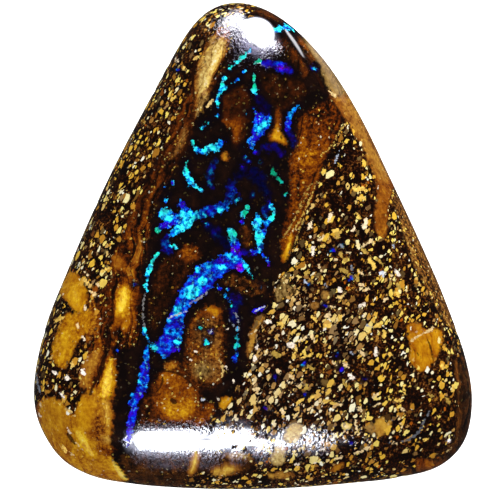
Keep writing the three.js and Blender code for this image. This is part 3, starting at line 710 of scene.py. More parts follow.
        (114, 318), (122, 320), (133, 312), (136, 326), (128, 334), (118, 330),
    ]),
    "lower yellow streak": ((4.35, 0, 0.3, 0.8), [
        (109, 354), (115, 356), (117, 371), (116, 385), (112, 400), (101, 401), (95, 394), (97, 385),
        (101, 375), (105, 364),
    ]),
    "lower yellow streak's heart": ((6.1, 0, 0.1, 0.7), [
        (109, 363), (112, 364), (113, 375), (111, 389), (108, 398), (102, 398), (101, 389), (104, 376),
    ]),
    "dull yellow": ((5.3, 0.3, 0.5, 0.4), [
        (102, 399), (111, 400), (111, 421), (109, 436), (104, 430), (102, 415),
    ]),
    "golden body": ((4.15, 0, 0.1, 0.25), [
        (76, 404), (80, 396), (88, 396), (94, 402), (96, 412), (93, 426), (86, 433), (76, 429), (73, 415),
    ]),
    "golden body's streak": ((5.7, 0, 0.2, 0.5), [
        (73, 426), (80, 428), (86, 436), (92, 445), (98, 457), (91, 460), (84, 452), (77, 443), (73, 435),
    ]),
    "brown beside golden body": ((2.5, 0.1, 0.2, 1.2), [
        (94, 412), (100, 412), (106, 424), (109, 437), (107, 445), (99, 443), (94, 438), (91, 430),
    ]),
    "corner tan": ((4.6, 0.5, 0, 0.6), [(100, 436), (110, 435), (113, 442), (104, 445)]),
    "corner brown": ((2.2, 0, 0.3, 0.6), [
        (97, 445), (107, 445), (114, 449), (113, 457), (105, 455), (98, 452),
    ]),
    "bottom yellow line": ((6.4, 0, 0.2, 0), [
        (109, 457), (114, 459), (120, 469), (130, 480), (124, 481), (115, 473),
    ]),
}

# Small chips knocked out of the girdle: x, y on the outline, half width and depth, in pixels. They fade out
# over this far, in millimetres, inwards on the face and downwards on the wall.
CHIP_REACH = 0.25
CHIPS = [
    (169.7, 66.8, 2, 1.1), (162.2, 79, 2, 0.7), (154.7, 92.6, 2, 1.1), (45, 334, 3, 1.0), (96, 204, 3, 0.7),
    (447, 330, 3, 0.8), (402, 478, 3, 0.7),
]

# Where the polish is finely pitted and breaks up its highlights: x, y and radius, in pixels, and how
# deeply. The two rows run along the edges of the front highlight.
PITTED = [
    (222, 24, 20, 2), (234, 42, 13, 1.5), (240, 55, 13, 1.3), (262, 60, 12, 1), (280, 50, 8, 0.9),
    (230, 24, 13, 2), (236, 12, 9, 1.8), (124, 442, 6, 0.4), (138, 457, 8, 0.6),
    *[(x, 424, 9, 0.45) for x in range(140, 212, 6)],
    *[(x, 457, 9, 0.5) for x in range(146, 222, 6)],
    (222, 427, 6, 0.4), (234, 429, 6, 0.4), (252, 432, 6, 0.5), (296, 442, 17, 1.1), (318, 442, 16, 1.2),
    (240, 458, 9, 0.8), (268, 456, 12, 1), (150, 464, 12, 0.8), (180, 463, 12, 0.8), (212, 461, 12, 0.8),
    (232.5, 447, 1.1, 2.5), (236, 446.5, 1, 2.5), (266, 436, 1.2, 4), (268.5, 438, 1.2, 4), (271, 440, 1, 4),
    (244.5, 449, 1.6, 4), (233, 431.5, 1.4, 4), (262, 437, 0.8, 3), (250, 441, 0.7, 3),
]

# What the polish mirrors. Each soft light has its radiance, its colour, the width of its soft edge and the
# outline of its mirror image in the photograph, both in pixels. A panel hides the ones after it.
MIRROR_IMAGES = {
    "front softbox": (46, (0.84, 0.88, 1), 2.6, [
        (134, 433), (150, 431), (190, 430.5), (209, 431.5), (222, 434.5), (240, 437), (272, 440.5),
        (300, 443), (322, 445), (300, 446), (272, 445.5), (240, 446), (212, 448.5), (185, 451),
        (155, 452.5), (139, 450.5), (132.5, 441),
    ]),
    "back softbox": (34, (0.86, 0.87, 1), 2.2, [
        (241, 25), (247, 19), (256, 17), (266, 20), (273, 27), (275, 36), (272, 45), (261, 48), (251, 42),
        (243, 33),
    ]),
    "back left panel": (26, (0.88, 0.88, 1), 2.5, [
        (219, 31), (222, 22), (229, 15), (237, 11), (244, 12), (246, 18), (241, 26), (234, 31), (227, 36),
    ]),
    "low strip": (9, (0.97, 0.95, 1), 1.2, [
        (284, 29.5), (286, 29), (296.5, 42), (304.5, 57), (303, 57.5), (294, 44),
    ]),
    "low corner light": (16, (1, 1, 1), 1, [(447, 439), (450.5, 438.5), (451, 442), (448, 443.5)]),
    "front glow": (15, (0.74, 0.76, 1.0), 12, [
        (131, 434), (140, 430), (160, 428.5), (200, 428.5), (222, 431), (245, 434), (280, 438), (310, 442),
        (310, 446), (275, 449), (240, 451), (205, 454), (170, 457), (142, 457), (130, 449), (129, 441),
    ]),
    "back glow": (16, (0.72, 0.68, 1.0), 15, [
        (243, 30), (249, 24), (259, 24), (267, 30), (272, 38), (274, 47), (264, 52), (253, 51), (245, 46),
        (240, 38),
    ]),
    "right rim sheen": (0.4, (0.92, 0.84, 1.0), 6, [
        (306, 40), (312, 44), (326, 62), (337, 82), (348, 104), (342, 104), (333, 88), (322, 68), (310, 50),
    ]),
    "front haze": (2.6, (0.8, 0.74, 1.0), 8, [
        (132, 442), (160, 438), (200, 442), (226, 454), (205, 464), (175, 468), (150, 467), (138, 460),
    ]),
}

# Where the gravel's grains are pale tan rather than golden, and where they are few: x, y and radius, in
# pixels.
PALE_GRAVEL = [
    (262, 348, 34), (268, 392, 42), (300, 300, 26), (310, 420, 40), (236, 410, 20), (345, 330, 30),
]
SPARSE_GRAVEL = [
    (348, 158, 26), (352, 204, 30), (336, 186, 16), (340, 236, 16), (404, 210, 24), (424, 256, 20),
    (96, 214, 20), (262, 300, 12), (372, 262, 12), (430, 400, 22), (448, 392, 12), (400, 455, 26),
    (430, 440, 16), (445, 420, 12),
]

# Lines that the streaks in the clay follow: (y, x) on the photograph, for the left side and for the right
# rim. The rim's begin at a line through (x, y) that leans left by the third number for each pixel down.
LEFT_FLOW = [
    (-10, 222), (15, 215), (110, 171), (210, 128), (260, 121), (312, 118), (370, 108), (404, 104),
    (430, 107), (460, 113), (500, 132),
]
RIGHT_FLOW = [
    (-10, 296), (45, 315), (110, 348), (170, 380), (240, 415), (310, 445), (380, 465), (500, 470),
]
RIM_FLOW_START = (367, 124, 0.46)


def photo_albedo(red, green, blue, light=FACE_LIGHT):
    """The albedo that shows as this colour of the photograph, 0 to 255, under the scene's light."""
    parts = np.array([red, green, blue]) / 255
    linear = np.where(parts <= 0.04045, parts / 12.92, ((parts + 0.055) / 1.055) ** 2.4)
    return (*(linear / light), 1.0)


def girdle_series(count=GIRDLE_WAVES):
    """The girdle's radius about MIDDLE as a Fourier series, read from the solid that the stone replaces."""
    mesh = bpy.data.objects[CAD_NODE].data
    points = np.array([v.co for v in mesh.vertices]) / MM
    girdle = points[np.abs(points[:, 2] - GIRDLE_HEIGHT) < 0.001]
    x, y = girdle[:, 0] - MIDDLE[0], girdle[:, 1] - MIDDLE[1]
    angle, radius = np.arctan2(y, x), np.hypot(x, y)
    table = np.exp(1j * np.outer(angle, np.arange(count)))
    columns = np.hstack([table.real, table.imag[:, 1:]])
    return np.linalg.lstsq(columns, radius, rcond=None)[0]


def girdle_radius(angle, series):
    """The girdle's radius at each angle."""
    count = (len(series) + 1) // 2
    radius = np.full(angle.shape, series[0])
    for wave in range(1, count):
        radius += series[wave] * np.cos(wave * angle) + series[count + wave - 1] * np.sin(wave * angle)
    return radius


def crowned_height(inset, radius):
    """The polished face's height at an inset from the girdle."""
    share = np.clip(inset / SHOULDER_WIDTH, 0, 1)
    shoulder = SHOULDER_RISE * np.sqrt(1 - (1 - share) ** (2 * SHOULDER_POWER))
    crown = CROWN_RISE * (1 - (1 - inset / radius) ** 2)
    return GIRDLE_HEIGHT + shoulder + crown


def even_insets(fraction, radius, usual_radius=14.0):
    """Insets that step evenly over the curved surface: fraction 0 is the girdle, 1 the middle."""
    inset = SHOULDER_WIDTH * (np.linspace(0, 1, 600) ** 2)
    height = crowned_height(inset, usual_radius)
    length = np.concatenate([[0], np.cumsum(np.hypot(np.diff(inset), np.diff(height)))])
    total = length[-1] + radius - SHOULDER_WIDTH
    travelled = fraction * total
    on_shoulder = np.interp(travelled, length, inset)
    return np.where(travelled < length[-1], on_shoulder, SHOULDER_WIDTH + travelled - length[-1])


def polishing_waves(x, y):
    """The faint unevenness of a face polished by hand, in millimetres."""
    return sum(height * np.sin(kx * x + ky * y + start) for kx, ky, start, height in POLISHING_WAVES)


def onto_photo(x, y, z):
    """Where a point of the stone, in millimetres, is seen in the photograph, in pixels."""
    nearer = (CAMERA_HEIGHT - GIRDLE_HEIGHT) / (CAMERA_HEIGHT - z)
    across = PHOTO_SIZE / 2 + (x - CAMERA_X) * nearer * PIXELS_PER_MM
    down = PHOTO_SIZE / 2 - (y - CAMERA_Y) * nearer * PIXELS_PER_MM
    return across, down


def denser(count, centre=0.0, width=1.0, extra=0.0):
    """Steps from -1 to 1, even or closer together round a centre."""
    fine = np.linspace(-1, 1, 2001)
    density = 1 + extra * np.exp(-(((fine - centre) / width) ** 2))
    total = np.concatenate([[0], np.cumsum((density[1:] + density[:-1]) / 2)])
    return np.interp(np.linspace(0, total[-1], count + 1), total, fine)


def rounded(corners, closed, passes=2):
    """A polyline with its corners cut, so that it runs smoothly."""
    points = np.array(corners, float)
    for _ in range(passes):
        after = np.roll(points, -1, axis=0) if closed else points[1:]
        before = points if closed else points[:-1]
        cut = np.stack([0.75 * before + 0.25 * after, 0.25 * before + 0.75 * after], axis=1)
        cut = cut.reshape(-1, points.shape[1])
        points = cut if closed else np.vstack([points[:1], cut, points[-1:]])
    return points


def nearby(px, py, points, margin=PAINT_MARGIN):
    """Which vertices lie within a margin of some points' box."""
    low = points[:, :2].min(0) - margin
    high = points[:, :2].max(0) + margin
    return np.flatnonzero((px > low[0]) & (px < high[0]) & (py > low[1]) & (py < high[1]))


def stroke_depth(px, py, corners):
    """How far inside a stroke each vertex is, and what the stroke's further columns say there."""
    depth = np.full(px.shape, -1e9)
    told = np.zeros(px.shape + (corners.shape[1] - 3,))
    for start, end in zip(corners, corners[1:]):
        step = end - start
        length = max(step[0] ** 2 + step[1] ** 2, 1e-9)
        along = np.clip(((px - start[0]) * step[0] + (py - start[1]) * step[1]) / length, 0, 1)
        gap = np.hypot(px - start[0] - along * step[0], py - start[1] - along * step[1])
        here = start[2] + along * step[2] - gap
        better = here > depth
        depth = np.where(better, here, depth)
        told[better] = (start[3:] + along[:, None] * step[3:])[better]
    return depth, told


def outline_depth(px, py, corners):
    """How far inside an outline each vertex is; outside is negative."""
    gap = np.full(px.shape, 1e9)
    inside = np.zeros(px.shape, bool)
    for (ax, ay), (bx, by) in zip(corners, np.roll(corners, -1, axis=0)):
        dx, dy = bx - ax, by - ay
        along = np.clip(((px - ax) * dx + (py - ay) * dy) / max(dx * dx + dy * dy, 1e-9), 0, 1)
        gap = np.minimum(gap, np.hypot(px - ax - along * dx, py - ay - along * dy))
        crosses = (ay > py) != (by > py)
        inside ^= crosses & (px < ax + (py - ay) * dx / (dy if dy else 1e-9))
    return np.where(inside, gap, -gap)


def paint_opal(px, py):
    """The opal's depth in pixels, its fire and its glow."""
    depth = np.full(px.shape, FAR_OUTSIDE)
    fire = np.full(px.shape, 2.0)
    glow = np.full(px.shape, 0.6)

    def lay(near, here, its_fire, its_glow):
        better = here > depth[near]
        chosen = near[better]
        depth[chosen] = here[better]
        fire[chosen] = np.broadcast_to(its_fire, here.shape)[better]
        glow[chosen] = np.broadcast_to(its_glow, here.shape)[better]

    for strength, outline in SEAMS.values():
        corners = rounded(outline, closed=False)
        near = nearby(px, py, corners)
        here, told = stroke_depth(px[near], py[near], corners)
        lay(near, here, told[:, 0], strength)
    for strength, colour, outline in PATCHES.values():
        corners = rounded(outline, closed=True)
        near = nearby(px, py, corners)
        lay(near, outline_depth(px[near], py[near], corners), colour, strength)
    for x, y, radius, colour, strength in SPARKS:
        near = nearby(px, py, np.array([[x, y]]), radius - FAR_OUTSIDE)
        here = radius - np.hypot(px[near] - x, py[near] - y)
        share = np.clip(0.5 + here / 2.0, 0, 1)
        fire[near] += (colour - fire[near]) * share
        glow[near] += (strength - glow[near]) * share
        depth[near] = np.maximum(depth[near], here)
    return depth, fire, glow


def paint_lines(px, py, lines):
    """The depth of thin strokes, with their brightness and warmth."""
    depth = np.full(px.shape, FAR_OUTSIDE)
    told = np.zeros(px.shape + (2,))
    for brightness, warmth, *strokes in lines:
        for stroke in strokes:
            corners = rounded(stroke, closed=False)
            near = nearby(px, py, corners)
            here, _ = stroke_depth(px[near], py[near], corners)
            better = here > depth[near]
            depth[near[better]] = here[better]
            told[near[better]] = (brightness, warmth)
    return depth, told[:, 0], told[:, 1]


def paint_ground(px, py):
    """The clay's and the gravel's depth, and the clay's tone, greyness, streakiness and speckle."""
    clay = np.full(px.shape, FAR_OUTSIDE)
    gravel = np.full(px.shape, FAR_OUTSIDE)
    ways = np.zeros(px.shape + (4,))
    for look, outline in GROUND.values():
        corners = rounded(outline, closed=True)
        near = nearby(px, py, corners)
        here = outline_depth(px[near], py[near], corners)
        on_top, under = (gravel, clay) if look == GRAVEL else (clay, gravel)
        on_top[near] = np.maximum(on_top[near], here)
        under[near] = np.minimum(under[near], -here)
        if look != GRAVEL:
            newest = clay[near] == here
            share = np.where(newest, 1.0, np.clip(0.3 + here / CLAY_BLEND, 0, 1))
            ways[near] += (np.array(look) - ways[near]) * share[:, None]
    return clay, gravel, ways


def paint_rounds(px, py, rounds):
    """A number that is full inside some rounds, (x, y, radius, full value), and fades out round them."""
    painted = np.zeros(px.shape)
    for x, y, radius, full in rounds:
        painted = np.maximum(painted, full * np.clip(1.3 - np.hypot(px - x, py - y) / radius, 0, 1))
    return painted


def flow_across(px, py):
    """How far each vertex lies across the streaks, in pixels."""
    left = px - np.interp(py, *np.array(LEFT_FLOW).T)
    right = px - np.interp(py, *np.array(RIGHT_FLOW).T)
    x, y, lean = RIM_FLOW_START
    return np.where(px > x - lean * (py - y), right, left)


def chipped(angle, radius, inset):
    """The girdle's radius where the chips have taken some of it away."""
    for x, y, half_width, depth in CHIPS:
        place = np.array([x - PHOTO_ORIGIN[0], PHOTO_ORIGIN[1] - y]) / PIXELS_PER_MM - MIDDLE
        arc = np.angle(np.exp(1j * (angle - np.arctan2(place[1], place[0])))) * radius * PIXELS_PER_MM
        fade = np.exp(-((arc / half_width) ** 2)) * np.exp(-((inset / CHIP_REACH) ** 2))
        radius = radius - depth / PIXELS_PER_MM * fade
    return radius


def polished_face():
    """The face's vertices, with the angle of each and the girdle's radius there, whole and chipped."""
    u, v = np.meshgrid(denser(COLUMNS, *COLUMN_FOCUS), denser(ROWS))
    disc_x = u * np.sqrt(1 - v ** 2 / 2)
    disc_y = v * np.sqrt(1 - u ** 2 / 2)
    angle = np.arctan2(disc_y, disc_x).ravel()
    fraction = 1 - np.clip(np.hypot(disc_x, disc_y), 0, 1).ravel()
    whole = girdle_radius(angle, girdle_series())
    inset = even_insets(fraction, whole)
    radius = chipped(angle, whole, inset)
    reach = np.maximum(radius - inset, 0)
    x = MIDDLE[0] + reach * np.cos(angle)
    y = MIDDLE[1] + reach * np.sin(angle)
    height = crowned_height(inset, whole) + polishing_waves(x, y) * np.clip(inset / 3, 0, 1)
    return np.column_stack([x, y, height]), angle, whole, radius


def lower_rings(angle, whole, radius):
    """The wall below the girdle and the ground back, as rings of vertices from the girdle inwards."""
    rings = []
    for step in range(1, WALL_RINGS + 1):
        turn = pi / 2 * step / WALL_RINGS
        below = GIRDLE_HEIGHT * sin(turn)
        rim = whole - (whole - radius) * np.exp(-((below / CHIP_REACH) ** 2))
        rings.append((rim - UNDERSIDE_INSET * (1 - cos(turn)), GIRDLE_HEIGHT - below))
    for step in range(1, BACK_RINGS):
        rings.append(((whole - UNDERSIDE_INSET) * (1 - step / BACK_RINGS), 0.0))
    across, along = np.cos(angle), np.sin(angle)
    return [
        np.column_stack([MIDDLE[0] + reach * across, MIDDLE[1] + reach * along, np.full(angle.shape, level)])
        for reach, level in rings
    ]


def stone_surface():
    """The whole stone: its vertices in millimetres, those of the face first, and its polygons."""
    face, angle, whole, radius = polished_face()
    grid = np.arange(len(face)).reshape(ROWS + 1, COLUMNS + 1)
    corners = (grid[:-1, :-1], grid[:-1, 1:], grid[1:, 1:], grid[1:, :-1])
    polygons = np.column_stack([corner.ravel() for corner in corners]).tolist()

    # Every second vertex on the face's border carries a column of the wall.
    border = np.concatenate([grid[0, :-1], grid[:-1, -1], grid[-1, :0:-1], grid[:0:-1, 0]])
    posts = border[::2]
    rings = lower_rings(angle[posts], whole[posts], radius[posts])
    first, count = len(face), len(posts)
    last = first + (len(rings) - 1) * count
    centre = last + count
    for i in range(count):
        j = (i + 1) % count
        polygons.append([first + j, posts[j], border[2 * i + 1], posts[i], first + i])
    for ring in range(first, last, count):
        for i in range(count):
            j = (i + 1) % count
            polygons.append([ring + i, ring + count + i, ring + count + j, ring + j])
    for i in range(count):
        polygons.append([last + i, centre, last + (i + 1) % count])
    return np.vstack([face, *rings, [(*MIDDLE, 0.0)]]), polygons


def give_attribute(mesh, name, values):
    """Adds a number at every vertex."""
    layer = mesh.attributes.new(name, "FLOAT", "POINT")
    layer.data.foreach_set("value", np.asarray(values, np.float32))


def make_stone(material):
    """The stone: its surface, its painted zones as vertex numbers, and its material."""
    points, polygons = stone_surface()
    px, py = onto_photo(*points.T)
    opal, fire, glow = paint_opal(px, py)
    clay, gravel, ways = paint_ground(px, py)
    line, brightness, warmth = paint_lines(px, py, HAIRLINES.values())
    crack, _, _ = paint_lines(px, py, [(0, 0, *CRACKS.values())])

    mesh = bpy.data.meshes.new("polished boulder opal")
    mesh.from_pydata(points * MM, [], polygons)
    for polygon in mesh.polygons:
        polygon.use_smooth = True
    for name, values in {
        "opal_depth": opal, "opal_fire": fire, "opal_glow": glow, "clay_depth": clay, "gravel_depth": gravel,
        "clay_tone": ways[:, 0], "clay_grey": ways[:, 1], "clay_streak": ways[:, 2],
        "clay_speckle": ways[:, 3], "line_depth": line, "line_bright": brightness, "line_warm": warmth,
        "crack_depth": crack,
        "flow_across": flow_across(px, py), "flow_along": py, "pitted": paint_rounds(px, py, PITTED),
        "gravel_pale": paint_rounds(px, py, [(*place, 1) for place in PALE_GRAVEL]),
        "gravel_sparse": paint_rounds(px, py, [(*place, 1) for place in SPARSE_GRAVEL]),
    }.items():
        give_attribute(mesh, name, np.clip(values, -500, 1000))
    mesh.materials.append(material)
    stone = bpy.data.objects.new("polished_stone", mesh)
    bpy.context.collection.objects.link(stone)
    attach(stone, "root")
    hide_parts(CAD_NODE)
    return stone


class Nodes:
    """Places shader nodes in one tree. Each call adds a node and gives back one of its outputs."""

    def __init__(self, tree):
        self.tree = tree

    def feed(self, socket, value):
        if isinstance(value, bpy.types.NodeSocket):
            self.tree.links.new(value, socket)
        else:
            socket.default_value = value

    def place(self, kind, inputs, **settings):
        """Adds a node and gives back all of its outputs."""
        node = self.tree.nodes.new(kind)
        for name, value in settings.items():
            setattr(node, name, value)
        for name, value in inputs.items():
            self.feed(node.inputs[name], value)
        return node.outputs

    def add(self, kind, inputs=None, output=0, **settings):
        return self.place(kind, inputs or {}, **settings)[output]

    def math(self, operation, *values):
        return self.add("ShaderNodeMath", dict(enumerate(values)), operation=operation)

    def times(self, first, second, plus=0.0):
        return self.math("MULTIPLY_ADD", first, second, plus)

    def step(self, value, low, high):
        """0 below low, 1 above high, and smooth between."""
        inputs = {"Value": value, "From Min": low, "From Max": high, "To Min": 0.0, "To Max": 1.0}
        return self.add("ShaderNodeMapRange", inputs, interpolation_type="SMOOTHSTEP")

    def span(self, value, low, high):
        """Turns 0 to 1 into low to high."""
        return self.add("ShaderNodeMapRange", {"Value": value, "To Min": low, "To Max": high}, clamp=False)

    def mix(self, factor, first, second, blend="MIX"):
        inputs = {0: factor, 6: first, 7: second}
        return self.add("ShaderNodeMix", inputs, output=2, data_type="RGBA", blend_type=blend)

    def dim(self, colour, value):
        """A colour made darker or brighter by a number."""
        return self.mix(1.0, colour, self.join(value, value, value), blend="MULTIPLY")

    def blend(self, factor, first, second):
        return self.add("ShaderNodeMix", {0: factor, 2: first, 3: second}, data_type="FLOAT")

    def noise(self, vector, scale, detail=2.0, roughness=0.5, offset=None, output="Fac"):
        """Noise from 0 to 1. An offset makes it another noise of the same kind."""
        if offset:
            vector = self.shift(vector, offset)
        inputs = {"Vector": vector, "Scale": scale, "Detail": detail, "Roughness": roughness}
        return self.add("ShaderNodeTexNoise", inputs, output=output)

    def swing(self, *ways, **more):
        """Noise to both sides of 0."""
        return self.math("SUBTRACT", self.noise(*ways, **more), 0.5)

    def cells(self, vector, scale, feature="F1", output="Distance"):
        inputs = {"Vector": vector, "Scale": scale}
        return self.add("ShaderNodeTexVoronoi", inputs, output=output, feature=feature)

    def shift(self, vector, offset):
        return self.add("ShaderNodeVectorMath", {0: vector, 1: offset}, operation="ADD")

    def stretch(self, vector, factors):
        return self.add("ShaderNodeVectorMath", {0: vector, 1: factors}, operation="MULTIPLY")

    def grow(self, vector, size):
        return self.add("ShaderNodeVectorMath", {0: vector, "Scale": size}, operation="SCALE")

    def join(self, x, y, z):
        return self.add("ShaderNodeCombineXYZ", {0: x, 1: y, 2: z})

    def height(self, vector):
        return self.add("ShaderNodeSeparateXYZ", {0: vector}, output=2)

    def parts(self, colour):
        """A colour's red, green and blue, which are three chances when the colour is a cell's."""
        return self.place("ShaderNodeSeparateColor", {0: colour})

    def ramp(self, factor, stops, light=FACE_LIGHT):
        """A band of the photograph's colours; stops are (place, red, green, blue)."""
        node = self.tree.nodes.new("ShaderNodeValToRGB")
        elements = node.color_ramp.elements
        elements.remove(elements[1])
        elements[0].position = stops[0][0]
        elements[0].color = photo_albedo(*stops[0][1:], light)
        for place, *colour in stops[1:]:
            elements.new(place).color = photo_albedo(*colour, light)
        self.feed(node.inputs[0], factor)
        return node.outputs[0]

    def vertex(self, name):
        return self.add("ShaderNodeAttribute", output="Fac", attribute_name=name)


def new_group(name, inputs, outputs):
    """A shader node group with named sockets: its tree, what it is given and its output node."""
    group = bpy.data.node_groups.new(name, "ShaderNodeTree")
    for label, kind, value in inputs:
        socket = group.interface.new_socket(label, in_out="INPUT", socket_type="NodeSocket" + kind)
        if value is not None:
            socket.default_value = value
    for label, kind in outputs:
        group.interface.new_socket(label, in_out="OUTPUT", socket_type="NodeSocket" + kind)
    return group, group.nodes.new("NodeGroupInput").outputs, group.nodes.new("NodeGroupOutput")


def use_group(nodes, group, inputs):
    """Places a group and gives back its outputs."""
    node = nodes.tree.nodes.new("ShaderNodeGroup")
    node.node_tree = group
    for name, value in inputs.items():
        nodes.feed(node.inputs[name], value)
    return node.outputs


def grain_group():
    """Angular mineral grains, each in one colour, with dark gaps between them."""
    group, given, result = new_group(
        "Ironstone grains",
        [
            ("Vector", "Vector", None), ("Spacing", "Float", 0.5), ("Share", "Float", 0.4),
            ("Gap", "Float", 0.1), ("Paleness", "Float", 0.0),
        ],
        [("Color", "Color"), ("Mask", "Float"), ("Dome", "Float")],
    )
    n = Nodes(group)
    scale = n.math("DIVIDE", 1.0, given["Spacing"])
    wobble = n.noise(given["Vector"], n.times(scale, 1.3), 2.0, 0.6, output="Color")
    wobble = n.grow(n.shift(wobble, (-0.5, -0.5, -0.5)), n.times(given["Spacing"], 0.85))
    place = n.shift(given["Vector"], wobble)
    edge = n.cells(place, scale, feature="DISTANCE_TO_EDGE")
    chance, own, pick = n.parts(n.cells(place, scale, output="Color"))
    lit = n.math("LESS_THAN", chance, given["Share"])
    gap = n.times(own, 0.12, given["Gap"])
    body = n.step(edge, gap, n.math("ADD", gap, 0.05))
    size = n.span(own, 0.72, 0.4)
    body = n.times(body, n.step(n.cells(place, scale), size, n.math("SUBTRACT", size, 0.08)))
    mask = n.times(lit, body)
    gold = n.ramp(pick, [
        (0.0, 255, 252, 230), (0.08, 252, 236, 168), (0.22, 248, 222, 110), (0.42, 236, 188, 62),
        (0.58, 208, 148, 44), (0.7, 168, 112, 34), (0.8, 122, 80, 26), (0.88, 104, 88, 52),
        (0.95, 72, 44, 14), (1.0, 190, 96, 14),
    ])
    tan = n.ramp(pick, [
        (0.0, 255, 252, 240), (0.12, 248, 230, 190), (0.3, 230, 196, 136), (0.46, 206, 164, 104),
        (0.6, 166, 128, 82), (0.72, 138, 122, 92), (0.84, 110, 78, 42), (1.0, 84, 50, 22),
    ])
    paleness = n.times(n.step(own, 0.55, 0.75), 0.6, n.times(given["Paleness"], 0.7))
    colour = n.mix(n.math("MINIMUM", paleness, 1.0), gold, tan)
    colour = n.dim(colour, n.span(n.noise(place, n.times(scale, 3.0), 1.0), 0.65, 1.25))
    for name, value in {"Color": colour, "Mask": mask, "Dome": n.times(mask, edge)}.items():
        n.feed(result.inputs[name], value)
    return group


def streak_group():
    """Streaks that follow the bedding: a value that is low in dark threads and high in pale ones."""
    group, given, result = new_group(
        "Bedding streaks",
        [
            ("Across", "Float", 0.0), ("Along", "Float", 0.0), ("Vector", "Vector", None),
            ("Width", "Float", 0.5),
        ],
        [("Streak", "Float"), ("Thread", "Float")],
    )
    n = Nodes(group)
    bend = n.times(n.swing(given["Vector"], 0.55), 1.4)
    across = n.math("DIVIDE", n.math("ADD", given["Across"], bend), given["Width"])
    place = n.join(across, n.times(given["Along"], 0.26), n.height(given["Vector"]))
    streak = n.noise(place, 0.55, 3.0, 0.6)
    lens = n.stretch(place, (0.45, 0.75, 0.5))
    edge = n.cells(lens, 0.9, feature="DISTANCE_TO_EDGE")
    own = n.parts(n.cells(lens, 0.9, output="Color"))[0]
    fade = n.step(n.noise(place, 0.5, offset=(7.3, 2.1, 4.4)), 0.42, 0.6)
    n.feed(result.inputs["Streak"], n.blend(0.15, streak, own))
    n.feed(result.inputs["Thread"], n.times(n.step(edge, 0.09, 0.02), fade))
    return group


def clay_colours(n, tone, greyness):
    """The iron clay's colour for a tone, from warm to grey."""
    place = n.math("DIVIDE", tone, LAST_TONE)
    warm = n.ramp(place, [
        (0.0, 10, 3, 1), (0.09, 36, 12, 2), (0.17, 72, 28, 3), (0.26, 108, 46, 3), (0.38, 150, 80, 5),
        (0.5, 190, 126, 12), (0.62, 224, 168, 24), (0.74, 252, 218, 48), (0.86, 234, 198, 116),
        (0.93, 246, 226, 170), (1.0, 255, 250, 232),
    ])
    grey = n.ramp(place, [
        (0.0, 8, 4, 2), (0.12, 38, 26, 10), (0.26, 84, 64, 26), (0.38, 122, 98, 52), (0.5, 152, 124, 72),
        (0.62, 180, 152, 96), (0.8, 216, 194, 138), (1.0, 250, 242, 216),
    ])
    return n.mix(greyness, warm, grey)


def fire_colours(n, fire):
    """The opal's colour for a fire."""
    return n.ramp(n.math("DIVIDE", fire, LAST_FIRE), [
        (0.0, 10, 176, 126), (0.12, 28, 220, 200), (0.22, 52, 236, 252), (0.34, 8, 160, 244),
        (0.46, 6, 92, 236), (0.58, 10, 30, 226), (0.72, 48, 4, 244), (0.84, 84, 6, 252), (1.0, 172, 10, 236),
    ], OPAL_LIGHT)


def iron_clay(n, place, streaks):
    """The clay: its tone wanders, streaks pull it about, threads cut it dark, and its edge is darker."""
    bedding = use_group(n, streaks, {
        "Across": n.math("DIVIDE", n.vertex("flow_across"), PIXELS_PER_MM),
        "Along": n.math("DIVIDE", n.vertex("flow_along"), PIXELS_PER_MM), "Vector": place, "Width": 0.18,
    })
    streakiness = n.vertex("clay_streak")
    streak = n.times(n.math("SUBTRACT", bedding["Streak"], 0.5), streakiness)
    mottle = n.times(n.swing(place, 4.8, 3.0, 0.65, (5, 1, 7)), n.vertex("clay_speckle"))
    tone = n.times(streak, 10.0, n.vertex("clay_tone"))
    tone = n.times(n.swing(place, 1.6, 4.0, 0.65, (3, 8, 1)), 3.2, tone)
    tone = n.times(mottle, 8.0, tone)
    tone = n.times(n.times(bedding["Thread"], streakiness), -2.4, tone)
    tone = n.times(tone, n.span(n.step(n.vertex("clay_depth"), 3.5, -2.5), 1.0, 0.62))
    return clay_colours(n, tone, n.vertex("clay_grey"))


def dark_cement(n, place, cloud):
    """What holds the gravel together: nearly black, with brown lumps."""
    lumps = n.times(cloud, 0.5, n.noise(place, 6.5, 3.0, 0.65, (1, 5, 9)))
    return n.ramp(lumps, [
        (0.0, 3, 1, 0), (0.76, 12, 3, 1), (0.85, 62, 26, 6), (0.94, 112, 66, 20), (1.0, 158, 110, 44),
    ])


def gravel_grains(n, place, rough_edge, grains, ground):
    """Lays grains of three sizes over the ground. Gives back the new ground and the grains' relief."""
    thick = n.step(n.times(rough_edge, ROUGH_PUSH / 2, n.vertex("gravel_depth")), -6.5, 3.0)
    thick = n.times(thick, n.span(n.vertex("gravel_sparse"), 1.0, 0.5))
    thick = n.times(thick, n.span(n.vertex("gravel_pale"), 1.0, 1.38))
    turned = {"Vector": place, "Angle": radians(GRAIN_LEAN)}
    leaning = n.add("ShaderNodeVectorRotate", turned, rotation_type="Z_AXIS")
    leaning = n.stretch(leaning, (0.72, 1.12, 1.0))
    relief = 0.0
    for spacing, share, gap, offset in GRAIN_SIZES:
        layer = use_group(n, grains, {
            "Vector": n.shift(leaning, offset), "Spacing": spacing, "Share": n.times(thick, share),
            "Gap": gap, "Paleness": n.vertex("gravel_pale"),
        })
        ground = n.mix(layer["Mask"], ground, layer["Color"])
        relief = n.math("MAXIMUM", relief, layer["Dome"])
    return ground, relief


